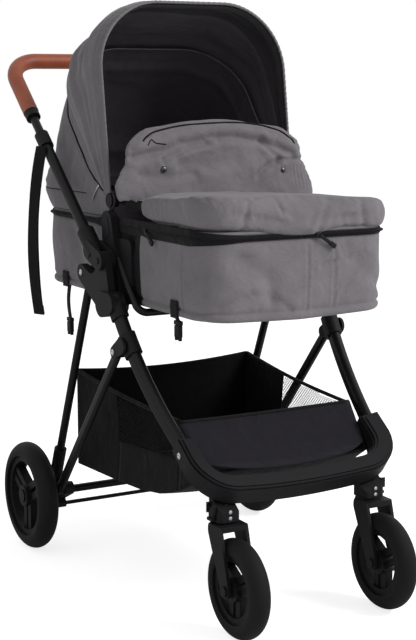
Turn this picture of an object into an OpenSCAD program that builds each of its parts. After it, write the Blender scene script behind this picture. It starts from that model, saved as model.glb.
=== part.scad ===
/* [Overall] */
// Length from the front tyres to the back of the push bar
overall_len = 910; // [860:2:980]
// Distance between the middles of the rear tyres
rear_track = 525; // [515:1:560]
// Distance between the middles of the front tyres
front_track = 302; // [280:1:320]

/* [Rear wheels] */
// Outside diameter of a rear tyre
rear_wheel_d = 216; // [196:1:230]
// Width of a rear tyre
rear_tyre_w = 42; // [36:1:44]
// Distance of the rear axle behind the middle of the pram
rear_axle_y = 271; // [262:1:278]
// Diameter of the rear axle tube
axle_tube_d = 16; // [13:0.5:18]
// Diameter of the rear axle's turned ends
axle_pin_d = 12; // [10:0.5:12.5]

/* [Front wheels] */
// Outside diameter of a front tyre
front_wheel_d = 174; // [160:1:178]
// Width of a front tyre
front_tyre_w = 38; // [30:1:40]
// Distance that the front axle stands ahead of its swivel
caster_trail = 50; // [42:1:54]
// Diameter of the front axle bolts
fork_bolt_d = 10; // [8:0.5:11]
// Diameter of the swivel stems
swivel_d = 14; // [11:0.5:16]
// Height of the fork's crown above the ground
crown_z = 183; // [182:0.5:186]
// Thickness of the fork's crown
crown_t = 10; // [8:0.5:11]
// Thickness of a fork arm
fork_t = 6; // [4:0.5:8]

/* [Wheel rims] */
// Radial depth of a tyre
tyre_depth = 27; // [23:0.5:30]
// Radial thickness of a rim's ring
rim_t = 11; // [8:0.5:13]
// Width of one spoke
spoke_w = 13; // [10:0.5:15]
// Clear space between the two spokes of a pair
spoke_gap = 8; // [5:0.5:12]
// Diameter of a wheel hub
wheel_hub_d = 42; // [36:1:48]

/* [Push bar] */
// Height of the push bar's middle
bar_z = 977; // [960:1:1000]
// Slope of the push bar's legs
handle_angle = 40.5; // [39:0.25:42]
// Distance of the side tubes from the middle plane
side_x = 226; // [224:0.5:230]
// Diameter of the fixed side tubes
outer_tube_d = 21; // [19.5:0.5:22]
// Diameter of the sliding bar tube
inner_tube_d = 17; // [14:0.5:18]
// Diameter of the leather grip
grip_d = 31; // [26:0.5:34]
// Radius of the bar's bends
bar_bend_r = 62; // [50:1:75]
// Length of the leather grip along each leg
grip_leg = 158; // [120:1:160]
// Distance from the bar's middle to the fixed tubes
collar_s = 228; // [222:1:236]
// Travel of the bar out of the tubes
slide_out = 40; // [20:1:50]
// Width of the wrist strap
strap_w = 25; // [18:1:30]
// Length of the wrist strap
strap_len = 340; // [280:5:380]

/* [Fold hinge] */
// Distance from the bar's middle to the fold pivot, along the tubes
pivot_s = 578; // [570:1:584]
// Height of the fold pivot above the tubes' axis
pivot_up = 16; // [13:0.5:18]
// Diameter of the fold pivot
pivot_d = 12; // [9:0.5:14]
// Diameter of the knuckle round the tube
knuckle_d = 33; // [30:0.5:33]
// Thickness of the hub's tongue
tongue_t = 14; // [10:0.5:14]

/* [Frame] */
// Long side of a front leg's section
leg_h = 30; // [26:0.5:32]
// Wall of the metal tubes
tube_wall = 1.6; // [1:0.1:2]
// Short side of a front leg's section
leg_w = 20; // [17:0.5:21]
// Diameter of a rear leg
rear_leg_d = 16; // [13:0.5:16]
// Distance of the rear legs from the middle plane
rear_leg_x = 210; // [209.5:0.25:210]
// Long side of a strut's section
strut_h = 20; // [16:0.5:22]
// Short side of a strut's section
strut_t = 12; // [8:0.5:12]
// Height of the moulded front bar
front_bar_h = 44; // [40:1:48]
// Thickness of the moulded front bar
front_bar_t = 36; // [30:0.5:38]
// Height of the front bar's side bolts
leg_foot_z = 303; // [298:1:308]
// Slope of the front bar towards its nose
bar_tilt = 36; // [34:0.5:38]

// Turn of a front leg's curve from the hub to the front bar
leg_curve = 26; // [24:1:28]

/* [Bassinet] */
// Width of the bassinet
tub_w = 382; // [362:1:383]
// Foot end of the bassinet ahead of the pram's middle
tub_front = 324; // [310:1:330]
// Head end of the bassinet behind the pram's middle
tub_back = 404; // [395:1:408]
// Height of the bassinet's bottom
tub_z = 536; // [534:0.5:540]
// Height of the bassinet's wall
tub_h = 152; // [140:1:156]
// Thickness of the padded wall
tub_t = 14; // [10:0.5:18]
// Corner radius of the bassinet
tub_r = 128; // [110:1:140]
// Thickness of the mattress
mattress_t = 34; // [25:1:45]

/* [Hood] */
// Distance of the hood's pivot behind the pram's middle
hood_y = 25; // [22:0.5:30]
// Height of the hood's pivot above the bassinet's rim
hood_rise = 32; // [30:0.5:36]
// Reach of the hood from its pivot
hood_r = 360; // [350:1:364]
// Width of the hood
hood_w = 384; // [378:1:386]
// Corner radius of the hood's arch
hood_corner = 122; // [100:1:140]
// Thickness of the hood's cloth
cloth_t = 3; // [2:0.25:3.5]

/* [Basket] */
// Width of the basket
basket_w = 396; // [370:1:398]
// Height of the basket's floor
basket_z = 183; // [178:1:190]

/* [Fits] */
// Radial clearance of running fits
run_clear = 0.05; // [0.02:0.01:0.1]
// Clearance between pieces that pass each other
side_clear = 0.5; // [0.3:0.05:0.5]
// Clearance between pieces that are fixed together
seat_clear = 0.15; // [0.1:0.05:0.2]

/* [Hidden] */
$fn = 96;
cut = 1;

black = "#1c1a1d";
plastic = "#2b2a2d";
steel = "#b9b9bb";
tan_leather = "#9c5840";
grey_cloth = "#747375";
dark_cloth = "#1f1d20";
tyre_black = "#2a2a2c";

// Places in the side view are [y, z], worked out from the push bar's line.
bar_y = overall_len / 2 - grip_d / 2;
function on_handle(s, up = 0) = [
    bar_y - s * cos(handle_angle) - up * sin(handle_angle),
    bar_z - s * sin(handle_angle) + up * cos(handle_angle)
];
fold_pivot = on_handle(pivot_s, pivot_up);
front_axle_y = front_wheel_d / 2 - overall_len / 2;
front_axle_z = front_wheel_d / 2;
rear_axle_z = rear_wheel_d / 2;
swivel_y = front_axle_y + caster_trail;
caster_x = front_track / 2;

// Offsets of the frame's joints from the fold pivot, in the side view
hub_low_dy = -12;
hub_low_dz = -78;
lobe_dy = 88;
lobe_dz = -31;
leg_top_dy = -40;
leg_top_dz = -74;
strut_top_dy = -56;
strut_top_dz = -160;
hub_low = fold_pivot + [hub_low_dy, hub_low_dz];
rear_pivot = fold_pivot + [lobe_dy, lobe_dz];
leg_top = fold_pivot + [leg_top_dy, leg_top_dz];
strut_top = fold_pivot + [strut_top_dy, strut_top_dz];

// Sizes of the hub and knuckle
hub_low_r = 24;
tongue_r = 17.5;
lobe_r = 16;
hub_block_w = 28;
hub_web_in = [8, 12];
cheek_t = 7;
cheek_r = 18;
knuckle_start = 28;
knuckle_len = 62;
tube_seat = 44;
knuckle_in = side_x - tongue_t / 2 - side_clear - cheek_t;
knuckle_out = side_x + tongue_t / 2 + side_clear + cheek_t;
hub_in = side_x - tongue_t / 2;
hub_block_in = side_x - hub_block_w / 2;
rear_pin_d = 10;
rear_eye_r = 12;
rear_eye_w = rear_leg_d - 2 * side_clear;
rear_head_r = 9;
rear_head_t = 2;

// The front legs run from the hub down to the front bar's arms
bar_arm_x = 194;
bar_arm_back = 52;
bar_arm_y = swivel_y + bar_arm_back;
leg_foot = [bar_arm_x, bar_arm_y, leg_foot_z];
leg_head = [side_x - (leg_w - hub_block_w / 2) / 2, leg_top[0], leg_top[1]];
leg_turn = atan2(leg_foot[1] - leg_head[1], leg_foot[0] - leg_head[0]);
leg_run = norm([leg_foot[0] - leg_head[0], leg_foot[1] - leg_head[1]]);
leg_fall = leg_head[2] - leg_foot[2];
leg_bend_r = norm([leg_run, leg_fall]) / (2 * sin(leg_curve / 2));
leg_steep = atan2(leg_fall, leg_run) + leg_curve / 2;
leg_span = leg_bend_r * leg_curve * PI / 180;
leg_sink = 12;

// The struts run from a collar on each front leg to the rear bracket
strut_low_dy = -63;
strut_low_dz = 22;
strut_low = [rear_axle_y + strut_low_dy, rear_axle_z + strut_low_dz];
strut_mid_x = side_x;
strut_in = strut_mid_x - strut_t / 2;
strut_out = strut_mid_x + strut_t / 2;
strut_eye_r = 11;
strut_pin_d = 8;
ear_t = 5;
collar_len = 42;
collar_wall = 4;
collar_along = 84;

// Sizes of the rear bracket, axle and brake
bracket_in = 200;
bracket_out = strut_in - side_clear;
bracket_r = 20;
bracket_nose_r = 13;
bracket_sleeve_r = 12.5;
bracket_sleeve_len = 62;
leg_low_rise = 40;
leg_low_back = 8;
rear_leg_low = [rear_axle_y - leg_low_back, rear_axle_z + leg_low_rise];
axle_boss_r = 14;
axle_end_gap = 3;
brake_dy = -28;
brake_dz = -19;
brake_d = 8;
brake_lobe_r = 8;
brake_y = rear_axle_y + brake_dy;
brake_z = rear_axle_z + brake_dz;
pedal_x = 120;
pedal_w = 56;
pedal_len = 92;
pedal_t = 6;
pedal_pad_len = 30;
pedal_pad_t = 10;

// Sizes of the casters
housing_w = 42;
housing_d = 44;
housing_r = 9;
housing_gap = 3;
housing_z = crown_z + crown_t + housing_gap;
stem_len = 28;
crown_r = 24;
arm_top_r = 21;
arm_low_r = 13;
arm_top_fwd = 14;
fork_gap = 3;
fork_bolt_head_r = 9;
fork_bolt_head_t = 4;
tab_w = 16;
tab_t = 5;
tab_h = 18;
tab_rise = 14;
tab_guide_t = 3;

// Side plate: a flat outline in [y, z], drawn thick across the pram from x
module side_plate(x, t) {
    translate([x, 0, 0]) rotate([90, 0, 90]) linear_extrude(t) children();
}

// Straight-sided link with a round end at each of two points
module link(p, q, rp, rq) {
    d = norm(q - p);
    a = atan2(q[1] - p[1], q[0] - p[0]);
    t = acos((rp - rq) / d);
    translate(p) circle(rp);
    translate(q) circle(rq);
    polygon([
        p + rp * [cos(a + t), sin(a + t)],
        p + rp * [cos(a - t), sin(a - t)],
        q + rq * [cos(a - t), sin(a - t)],
        q + rq * [cos(a + t), sin(a + t)]
    ]);
}

// Turns +Z along the line from p to q and moves to p
module along(p, q) {
    d = q - p;
    translate(p) rotate([0, acos(d[2] / norm(d)), atan2(d[1], d[0])]) children();
}

module rod(p, q, r) {
    along(p, q) cylinder(h = norm(q - p), r = r);
}

// Round-ended slot section, long along X
module slot(len, w) {
    square([len - w, w], center = true);
    for (s = [-1, 1]) translate([s * (len - w) / 2, 0]) circle(d = w);
}

// Rectangle with round corners between two corners
module soft_square(lo, hi, r) {
    for (x = [lo[0] + r, hi[0] - r], y = [lo[1] + r, hi[1] - r]) translate([x, y]) circle(r);
    translate([lo[0] + r, lo[1]]) square([hi[0] - lo[0] - 2 * r, hi[1] - lo[1]]);
    translate([lo[0], lo[1] + r]) square([hi[0] - lo[0], hi[1] - lo[1] - 2 * r]);
}

// A bore or pin across the pram at a side-view place
module cross_pin(p, d, x0, x1) {
    translate([x0, p[0], p[1]]) rotate([0, 90, 0]) cylinder(d = d, h = x1 - x0);
}

// Draws the right-hand piece for side 1 and its mirror image for side -1
module sided(side) {
    if (side > 0) children(); else mirror([1, 0, 0]) children();
}

// Front frame

// Angle on the leg's curve at a length from the hub, and the point there
function leg_angle(along) = 270 - leg_steep + leg_curve * along / leg_span;
function leg_ahead(along) = leg_bend_r * (sin(leg_steep) + cos(leg_angle(along)));
function leg_point(along) = leg_head + [
    leg_ahead(along) * cos(leg_turn), leg_ahead(along) * sin(leg_turn),
    leg_bend_r * (cos(leg_steep) + sin(leg_angle(along)))
];
module leg_body(grow, from_s, to_s) {
    translate(leg_head) rotate([90, 0, leg_turn])
        translate(leg_bend_r * [sin(leg_steep), cos(leg_steep)])
            rotate(leg_angle(from_s))
                rotate_extrude(angle = leg_angle(to_s) - leg_angle(from_s), $fn = dome_fn)
                    translate([leg_bend_r, 0]) slot(leg_h + 2 * grow, leg_w + 2 * grow);
}

module front_leg(side) {
    color(black) sided(side)
        difference() {
            leg_body(0, 0, leg_span);
            leg_body(-tube_wall, -cut, leg_span + cut);
        }
}

// Front bar: a moulded U, drawn flat with its side bolts at the origin and then tilted
bar_inset = 2;
bar_out_x = bar_arm_x + front_bar_t / 2 - bar_inset;
bar_nose = 26;
bar_reach = (bar_arm_back + bar_nose) / cos(bar_tilt);
bar_corner = 74;
bar_round = 7;
bar_round_step = 2.5;
bar_arm_end = 23;
housing_seat = 0.05;
bar_dip_r = 900;
bar_dip = bar_dip_r - sqrt(pow(bar_dip_r, 2) - pow(bar_arm_x, 2));
module bar_plan(inset) {
    depth = bar_reach + bar_arm_end;
    difference() {
        translate([-bar_out_x + inset, -bar_reach + inset])
            difference() {
                soft_square([0, 0], [2 * (bar_out_x - inset), 2 * depth], bar_corner - inset);
                translate([-cut, depth - 2 * inset]) square([2 * bar_out_x + 2 * cut, 2 * depth]);
            }
        translate([-bar_out_x + front_bar_t - inset, -bar_reach + front_bar_t - inset])
            soft_square(
                [0, 0],
                [2 * (bar_out_x - front_bar_t + inset), 2 * depth],
                bar_corner - front_bar_t + inset
            );
    }
}
module bar_frame() {
    translate([0, bar_arm_y, leg_foot_z]) rotate([bar_tilt, 0, 0]) children();
}
// Round block about the bar's dip; its lowest line runs along the middle of the pram
module bar_bowl(r) {
    translate([0, 0, bar_dip_r - bar_dip])
        rotate([90, 0, 0]) cylinder(r = r, h = overall_len, center = true, $fn = dome_fn);
}
module bar_layer(inset, drop) {
    intersection() {
        linear_extrude(4 * front_bar_h, center = true) bar_plan(inset);
        difference() {
            bar_bowl(bar_dip_r + front_bar_h / 2 - drop);
            bar_bowl(bar_dip_r - front_bar_h / 2 + drop);
        }
    }
}

module front_bar() {
    color(plastic)
        difference() {
            bar_frame() {
                bar_layer(0, bar_round);
                bar_layer(bar_round_step, bar_round_step);
                bar_layer(bar_round, 0);
            }
            for (s = [-1, 1]) sided(s) leg_body(seat_clear, leg_span - 4 * leg_h, leg_span + seat_clear);
        }
}

module hub(side) {
    color(plastic) sided(side) {
        difference() {
            union() {
                side_plate(hub_in, tongue_t) {
                    link(fold_pivot, hub_low, tongue_r, hub_low_r);
                    link(hub_low, rear_pivot, hub_low_r, lobe_r);
                    polygon([fold_pivot, hub_low, rear_pivot, (fold_pivot + rear_pivot) / 2 - hub_web_in]);
                }
                side_plate(hub_block_in, hub_block_w) {
                    translate(hub_low) circle(hub_low_r);
                    link(hub_low, leg_top, hub_low_r, leg_h / 2 + collar_wall);
                }
                leg_body(collar_wall, -leg_sink, leg_h);
            }
            leg_body(seat_clear, -seat_clear, 2 * leg_h);
        }
        cross_pin(fold_pivot, pivot_d, knuckle_in - rear_head_t, knuckle_out + rear_head_t);
        cross_pin(rear_pivot, rear_pin_d, bracket_in, hub_in + cut);
        cross_pin(rear_pivot, 2 * rear_head_r, bracket_in - rear_head_t, bracket_in);
    }
}

module strut_collar(side) {
    mid = leg_point(collar_along);
    color(plastic) sided(side) {
        difference() {
            union() {
                leg_body(collar_wall, collar_along - collar_len / 2, collar_along + collar_len / 2);
                for (x = [strut_in - side_clear - ear_t, strut_out + side_clear])
                    side_plate(x, ear_t) link([mid[1], mid[2]], strut_top, leg_h / 2, strut_eye_r);
            }
            leg_body(seat_clear, 0, leg_span);
        }
        cross_pin(strut_top, strut_pin_d, strut_in - side_clear - cut, strut_out + side_clear + cut);
    }
}

// Bolt heads that show on the frame
head_r = 7;
head_t = 3;
module frame_bolts() {
    color(steel) for (s = [-1, 1]) sided(s) {
        translate([strut_out + side_clear + ear_t, 0, 0]) cross_pin(strut_top, 2 * head_r, 0, head_t);
        cross_pin(rear_pivot, 2 * head_r, hub_in + tongue_t, hub_in + tongue_t + head_t);
        cross_pin(
            [bar_arm_y, leg_foot_z], 2 * head_r, bar_out_x, bar_out_x + head_t
        );
        for (dz = [head_r, 3 * head_r - housing_gap])
            translate([caster_x, swivel_y - housing_d / 2, housing_z + dz])
                rotate([90, 0, 0]) cylinder(r = head_r / 2, h = head_t);
    }
}

// Casters

module caster_housing(side) {
    color(plastic) sided(side)
        difference() {
            union() {
                difference() {
                    translate([caster_x - housing_w / 2, swivel_y - housing_d / 2, housing_z])
                        linear_extrude(leg_foot_z - housing_z)
                            soft_square([0, 0], [housing_w, housing_d], housing_r);
                    bar_frame() bar_bowl(bar_dip_r + front_bar_h / 2 + housing_seat);
                }
                translate([
                    caster_x + housing_w / 2,
                    swivel_y - tab_w / 2 - tab_guide_t,
                    housing_z + tab_rise
                ])
                    difference() {
                        cube([tab_t + tab_guide_t, tab_w + 2 * tab_guide_t, tab_h]);
                        translate([side_clear, tab_guide_t - side_clear, -cut])
                            cube([
                                tab_t + 2 * tab_guide_t,
                                tab_w + 2 * side_clear,
                                tab_h + 2 * cut
                            ]);
                    }
            }
            translate([caster_x, swivel_y, housing_z - cut])
                cylinder(d = swivel_d + 2 * run_clear, h = stem_len + 2 * cut);
        }
}

module lock_tab(side) {
    color(black) sided(side)
        translate([caster_x + housing_w / 2 + side_clear, swivel_y - tab_w / 2, housing_z + tab_rise / 2])
            union() {
                cube([tab_t - side_clear, tab_w, tab_h]);
                translate([0, 0, -tab_t]) cube([tab_t + tab_guide_t, tab_w, tab_t]);
            }
}

module fork(side) {
    arm_x = front_tyre_w / 2 + fork_gap;
    top = [swivel_y - arm_top_fwd, crown_z];
    low = [front_axle_y, front_axle_z];
    color(plastic) sided(side) {
        difference() {
            union() {
                translate([caster_x, swivel_y, crown_z]) linear_extrude(crown_t) {
                    circle(crown_r);
                    translate([-arm_x - fork_t, -arm_top_fwd - arm_top_r])
                        soft_square([0, 0], [2 * (arm_x + fork_t), 2 * arm_top_r], fork_t);
                }
                for (x = [-arm_x - fork_t, arm_x])
                    side_plate(caster_x + x, fork_t) link(top, low, arm_top_r, arm_low_r);
            }
            translate([0, swivel_y - overall_len / 2, crown_z + crown_t])
                cube([overall_len, overall_len, overall_len / 2]);
        }
        translate([caster_x, swivel_y, crown_z]) cylinder(d = swivel_d, h = crown_t + housing_gap + stem_len);
        cross_pin(low, fork_bolt_d, caster_x - arm_x - fork_t, caster_x + arm_x + fork_t);
        for (x = [-arm_x - fork_t - fork_bolt_head_t, arm_x + fork_t])
            cross_pin(low, 2 * fork_bolt_head_r, caster_x + x, caster_x + x + fork_bolt_head_t);
    }
}

// Wheels, drawn round the X axis through their own middle

module tyre_ring(d, w) {
    r_in = d / 2 - tyre_depth;
    rotate([0, 90, 0]) rotate_extrude()
        intersection() {
            translate([d / 2 - w / 2, 0]) circle(d = w);
            translate([r_in, -w]) square([tyre_depth, 2 * w]);
        }
}

hub_face_share = 0.86;
rim_w_share = 0.66;
spoke_t_share = 0.42;
cap_r_share = 0.62;
cap_t = 3;
module wheel_rim(d, w, bore_d, blind) {
    r_out = d / 2 - tyre_depth - seat_clear;
    r_in = r_out - rim_t;
    rotate([0, 90, 0])
        difference() {
            union() {
                rotate_extrude() translate([r_in, -w * rim_w_share / 2]) square([rim_t, w * rim_w_share]);
                cylinder(d = wheel_hub_d, h = w * hub_face_share, center = true);
                cylinder(d = wheel_hub_d * cap_r_share, h = w * hub_face_share + 2 * cap_t, center = true);
                linear_extrude(w * spoke_t_share, center = true)
                    for (a = [0, 120, 240], s = [-1, 1])
                        rotate(a) translate([0, s * (spoke_gap + spoke_w) / 2 - spoke_w / 2])
                            square([r_in + rim_t / 2, spoke_w]);
            }
            translate([0, 0, -w])
                cylinder(d = bore_d + 2 * run_clear, h = blind ? w + w * hub_face_share / 2 : 2 * w);
        }
}

rear_x = rear_track / 2;
module rear_tyre(side) {
    color(tyre_black) sided(side) translate([rear_x, rear_axle_y, rear_axle_z])
        tyre_ring(rear_wheel_d, rear_tyre_w);
}
module rear_rim(side) {
    color(plastic) sided(side) translate([rear_x, rear_axle_y, rear_axle_z])
        wheel_rim(rear_wheel_d, rear_tyre_w, axle_pin_d, true);
}
module front_tyre(side) {
    color(tyre_black) sided(side) translate([caster_x, front_axle_y, front_axle_z])
        tyre_ring(front_wheel_d, front_tyre_w);
}
module front_rim(side) {
    color(plastic) sided(side) translate([caster_x, front_axle_y, front_axle_z])
        wheel_rim(front_wheel_d, front_tyre_w, fork_bolt_d, false);
}

// Rear frame

module rear_leg(side) {
    top = [rear_leg_x, rear_pivot[0], rear_pivot[1]];
    low = [rear_leg_x, rear_leg_low[0], rear_leg_low[1]];
    dir_down = (low - top) / norm(low - top);
    rear_bore = norm(low - top) - 2 * rear_eye_r;
    color(black) sided(side)
        difference() {
            union() {
                rod(top, low, rear_leg_d / 2);
                translate([rear_leg_x, 0, 0])
                    cross_pin(rear_pivot, 2 * rear_eye_r, -rear_eye_w / 2, rear_eye_w / 2);
            }
            rod(low + cut * dir_down, low - rear_bore * dir_down, rear_leg_d / 2 - tube_wall);
            cross_pin(rear_pivot, rear_pin_d + 2 * run_clear, bracket_in, side_x);
        }
}

module rear_bracket(side) {
    axle = [rear_axle_y, rear_axle_z];
    top = [rear_leg_x, rear_pivot[0], rear_pivot[1]];
    low = [rear_leg_x, rear_leg_low[0], rear_leg_low[1]];
    dir = (top - low) / norm(top - low);
    wheel_in = rear_x - rear_tyre_w * hub_face_share / 2 - cap_t;
    color(plastic) sided(side)
        difference() {
            union() {
                side_plate(bracket_in, bracket_out - bracket_in) {
                    link(axle, strut_low, bracket_r, bracket_nose_r);
                    link(axle, rear_leg_low, bracket_r, bracket_nose_r);
                    link(axle, [brake_y, brake_z], bracket_r, brake_lobe_r);
                }
                rod(low, low + bracket_sleeve_len * dir, bracket_sleeve_r);
                cross_pin(axle, 2 * axle_boss_r, bracket_out - cut, wheel_in - side_clear);
            }
            rod(low - seat_clear * dir, top, rear_leg_d / 2 + seat_clear);
            cross_pin(axle, axle_pin_d + 2 * run_clear, bracket_in - cut, rear_x);
            cross_pin([brake_y, brake_z], brake_d + 2 * run_clear, bracket_in - cut, rear_x);
            translate([bracket_out, 0, 0])
                cross_pin(strut_low, 2 * bracket_r * 3, 0, bracket_r);
        }
}

module rear_axle() {
    end = rear_x + rear_tyre_w * hub_face_share / 2 - axle_end_gap;
    color(steel) translate([0, rear_axle_y, rear_axle_z]) rotate([0, 90, 0]) {
        cylinder(d = axle_pin_d, h = 2 * end, center = true);
        cylinder(d = axle_tube_d, h = 2 * (bracket_in - side_clear), center = true);
    }
}

module brake_bar() {
    color(black) {
        cross_pin([brake_y, brake_z], brake_d, -bracket_out + cut, bracket_out - cut);
        translate([pedal_x, brake_y, brake_z - brake_d / 2 - pedal_t / 2])
            cube([pedal_w, pedal_len, pedal_t]);
        translate([pedal_x, brake_y + pedal_len - pedal_pad_len, brake_z - brake_d / 2 - pedal_t / 2])
            cube([pedal_w, pedal_pad_len, pedal_pad_t]);
    }
}

module strut(side) {
    top = [strut_mid_x, strut_top[0], strut_top[1]];
    low = [strut_mid_x, strut_low[0], strut_low[1]];
    color(black) sided(side)
        difference() {
            union() {
                along(top, low) linear_extrude(norm(low - top)) slot(strut_h, strut_t);
                for (p = [strut_top, strut_low]) cross_pin(p, 2 * strut_eye_r, strut_in, strut_out);
            }
            along(low, top) translate([0, 0, -2 * strut_eye_r])
                linear_extrude(norm(low - top)) slot(strut_h - 2 * tube_wall, strut_t - 2 * tube_wall);
            cross_pin(strut_top, strut_pin_d + 2 * run_clear, strut_in - cut, strut_out + cut);
        }
}

// Push bar

knuckle_top = pivot_s - knuckle_start - knuckle_len;
function side_point(s) = [side_x, on_handle(s)[0], on_handle(s)[1]];

module handle_tube(side) {
    color(black) sided(side)
        difference() {
            rod(side_point(collar_s), side_point(knuckle_top + tube_seat), outer_tube_d / 2);
            rod(side_point(collar_s - cut), side_point(knuckle_top), inner_tube_d / 2 + run_clear);
        }
}

module knuckle(side) {
    end = pivot_s - knuckle_start;
    color(plastic) sided(side)
        difference() {
            union() {
                rod(side_point(knuckle_top), side_point(end), knuckle_d / 2);
                for (x = [knuckle_in, knuckle_out - cheek_t])
                    side_plate(x, cheek_t)
                        link(fold_pivot, on_handle(end - knuckle_len / 4), cheek_r, knuckle_d / 2);
            }
            rod(
                side_point(knuckle_top - cut), side_point(knuckle_top + tube_seat + seat_clear),
                outer_tube_d / 2 + seat_clear
            );
            cross_pin(fold_pivot, pivot_d + 2 * run_clear, knuckle_in - cut, knuckle_out + cut);
        }
}

sleeve_len = 30;
sleeve_t = 3.5;
sleeve_lip = 5;
module collar(side) {
    color(plastic) sided(side)
        difference() {
            rod(
                side_point(collar_s - sleeve_lip), side_point(collar_s + sleeve_len),
                outer_tube_d / 2 + sleeve_t
            );
            rod(side_point(collar_s), side_point(collar_s + sleeve_len + cut), outer_tube_d / 2 + seat_clear);
            rod(
                side_point(collar_s - 2 * sleeve_lip), side_point(collar_s + cut),
                inner_tube_d / 2 + run_clear
            );
        }
}

// Bar across the pram with a leg at each end, lying in the XY plane
module bent_bar(r, half, bend, leg) {
    rotate([0, 90, 0]) cylinder(r = r, h = 2 * (half - bend), center = true);
    for (s = [-1, 1]) sided(s) {
        translate([half - bend, -bend, 0])
            rotate_extrude(angle = 90) translate([bend, 0]) circle(r);
        translate([half, -bend, 0]) rotate([90, 0, 0]) cylinder(r = r, h = leg - bend);
    }
}
module bar_u(r, leg) {
    translate([0, bar_y, bar_z]) rotate([handle_angle, 0, 0]) bent_bar(r, side_x, bar_bend_r, leg);
}

module handle_bar() {
    color(black)
        difference() {
            bar_u(inner_tube_d / 2, knuckle_top - slide_out);
            bar_u(inner_tube_d / 2 - tube_wall, knuckle_top - slide_out + cut);
        }
}

module grip_cover() {
    color(tan_leather)
        difference() {
            bar_u(grip_d / 2, grip_leg);
            bar_u(inner_tube_d / 2 + seat_clear, grip_leg + cut);
        }
}

ring_len = 16;
ring_t = 4;
module grip_rings() {
    color(black) for (s = [-1, 1]) sided(s)
        difference() {
            rod(side_point(grip_leg), side_point(grip_leg + ring_len), grip_d / 2 - ring_t / 4);
            rod(
                side_point(grip_leg - cut), side_point(grip_leg + ring_len + cut),
                inner_tube_d / 2 + seat_clear
            );
        }
}

// Wrist strap: a webbing band that bows away from the tube and hangs
strap_t = 2;
strap_bow_r = 620;
strap_lean = 3.3;
strap_turn = 164;
module wrist_strap() {
    sweep = strap_len / strap_bow_r * 180 / PI;
    color(black)
        difference() {
            translate([
                -side_x - outer_tube_d / 2 - sleeve_t - strap_t,
                on_handle(collar_s + sleeve_len / 2)[0],
                on_handle(collar_s + sleeve_len / 2)[1]
            ])
                rotate([0, 0, -strap_turn]) rotate([0, 180 - sweep / 2 - strap_lean, 0])
                    translate([strap_bow_r, strap_w / 2, 0]) rotate([90, 0, 0])
                        linear_extrude(strap_w)
                            difference() {
                                intersection() {
                                    circle(strap_bow_r);
                                    polygon([
                                        [0, 0],
                                        2 * strap_bow_r * [-1, 0],
                                        2 * strap_bow_r * [-cos(sweep), sin(sweep)]
                                    ]);
                                }
                                circle(strap_bow_r - strap_t);
                            }
            sided(-1)
                rod(
                    side_point(collar_s - 2 * sleeve_lip), side_point(collar_s + 2 * sleeve_len),
                    outer_tube_d / 2 + sleeve_t + seat_clear
                );
        }
}

// Seat adapters

adapter_gap = 2;
adapter_in = tub_w / 2 + adapter_gap;
adapter_out = 208;
adapter_low_r = 22;
adapter_top_r = 21;
adapter_top_dy = 28;
adapter_top_dz = 67;
adapter_top = fold_pivot + [adapter_top_dy, adapter_top_dz];
plate_ahead = 56;
plate_behind = 30;
plate_h = 118;
plate_t = 6;
plate_r = 15;
button_w = 18;
button_len = 36;
button_proud = 1;
button_depth = 7;
button_travel = 4;

module button_shape(grow) {
    translate(adapter_top) rotate(atan2(adapter_top[1] - hub_low[1], adapter_top[0] - hub_low[0]))
        translate([-button_len / 4, 0]) slot(button_len + 2 * grow, button_w + 2 * grow);
}

module adapter(side) {
    color(plastic) sided(side)
        difference() {
            union() {
                side_plate(adapter_in, adapter_out - adapter_in)
                    link(hub_low, adapter_top, adapter_low_r, adapter_top_r);
                side_plate(adapter_in, plate_t)
                    soft_square(
                        [fold_pivot[0] - plate_ahead, tub_z],
                        [fold_pivot[0] + plate_behind, tub_z + plate_h], plate_r
                    );
                side_plate(adapter_out - cut, hub_block_in - adapter_out + cut)
                    translate(hub_low) circle(adapter_low_r * 3 / 4);
            }
            side_plate(adapter_out - button_depth - button_travel, button_depth + button_travel + cut)
                button_shape(side_clear);
            hoop_leg(seat_clear);
            leg_body(collar_wall + seat_clear, -leg_sink - seat_clear, leg_h);
        }
}

module adapter_button(side) {
    color(plastic) sided(side)
        side_plate(adapter_out + button_proud - button_depth, button_depth) button_shape(0);
}

// Support hoop: a bent tube from adapter to adapter under the bassinet
hoop_d = 14;
hoop_gap = 2.2;
hoop_x = tub_w / 2 + hoop_d / 2 + hoop_gap;
hoop_low_dy = -88;
hoop_bend_r = 18;
hoop_low = [fold_pivot[0] + hoop_low_dy, tub_z - hoop_d / 2 - hoop_gap];
hoop_top = [fold_pivot[0] + adapter_top_dy / 4, fold_pivot[1] + adapter_top_dz / 4];
hoop_angle = atan2(hoop_top[1] - hoop_low[1], hoop_top[0] - hoop_low[0]);
module hoop_frame() {
    translate([0, hoop_low[0], hoop_low[1]]) rotate([hoop_angle, 0, 0]) mirror([0, 1, 0]) children();
}
module hoop_leg(grow) {
    len = norm(hoop_top - hoop_low);
    hoop_frame() translate([hoop_x, -hoop_bend_r, 0])
        rotate([90, 0, 0]) cylinder(d = hoop_d + 2 * grow, h = len - hoop_bend_r + grow);
}

module support_hoop() {
    color(black) hoop_frame()
        bent_bar(hoop_d / 2, hoop_x, hoop_bend_r, norm(hoop_top - hoop_low));
}

// Bassinet

module tub_plan(inset) {
    soft_square(
        [-tub_w / 2 + inset, -tub_front + inset],
        [tub_w / 2 - inset, tub_back - inset],
        tub_r - inset
    );
}

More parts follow.
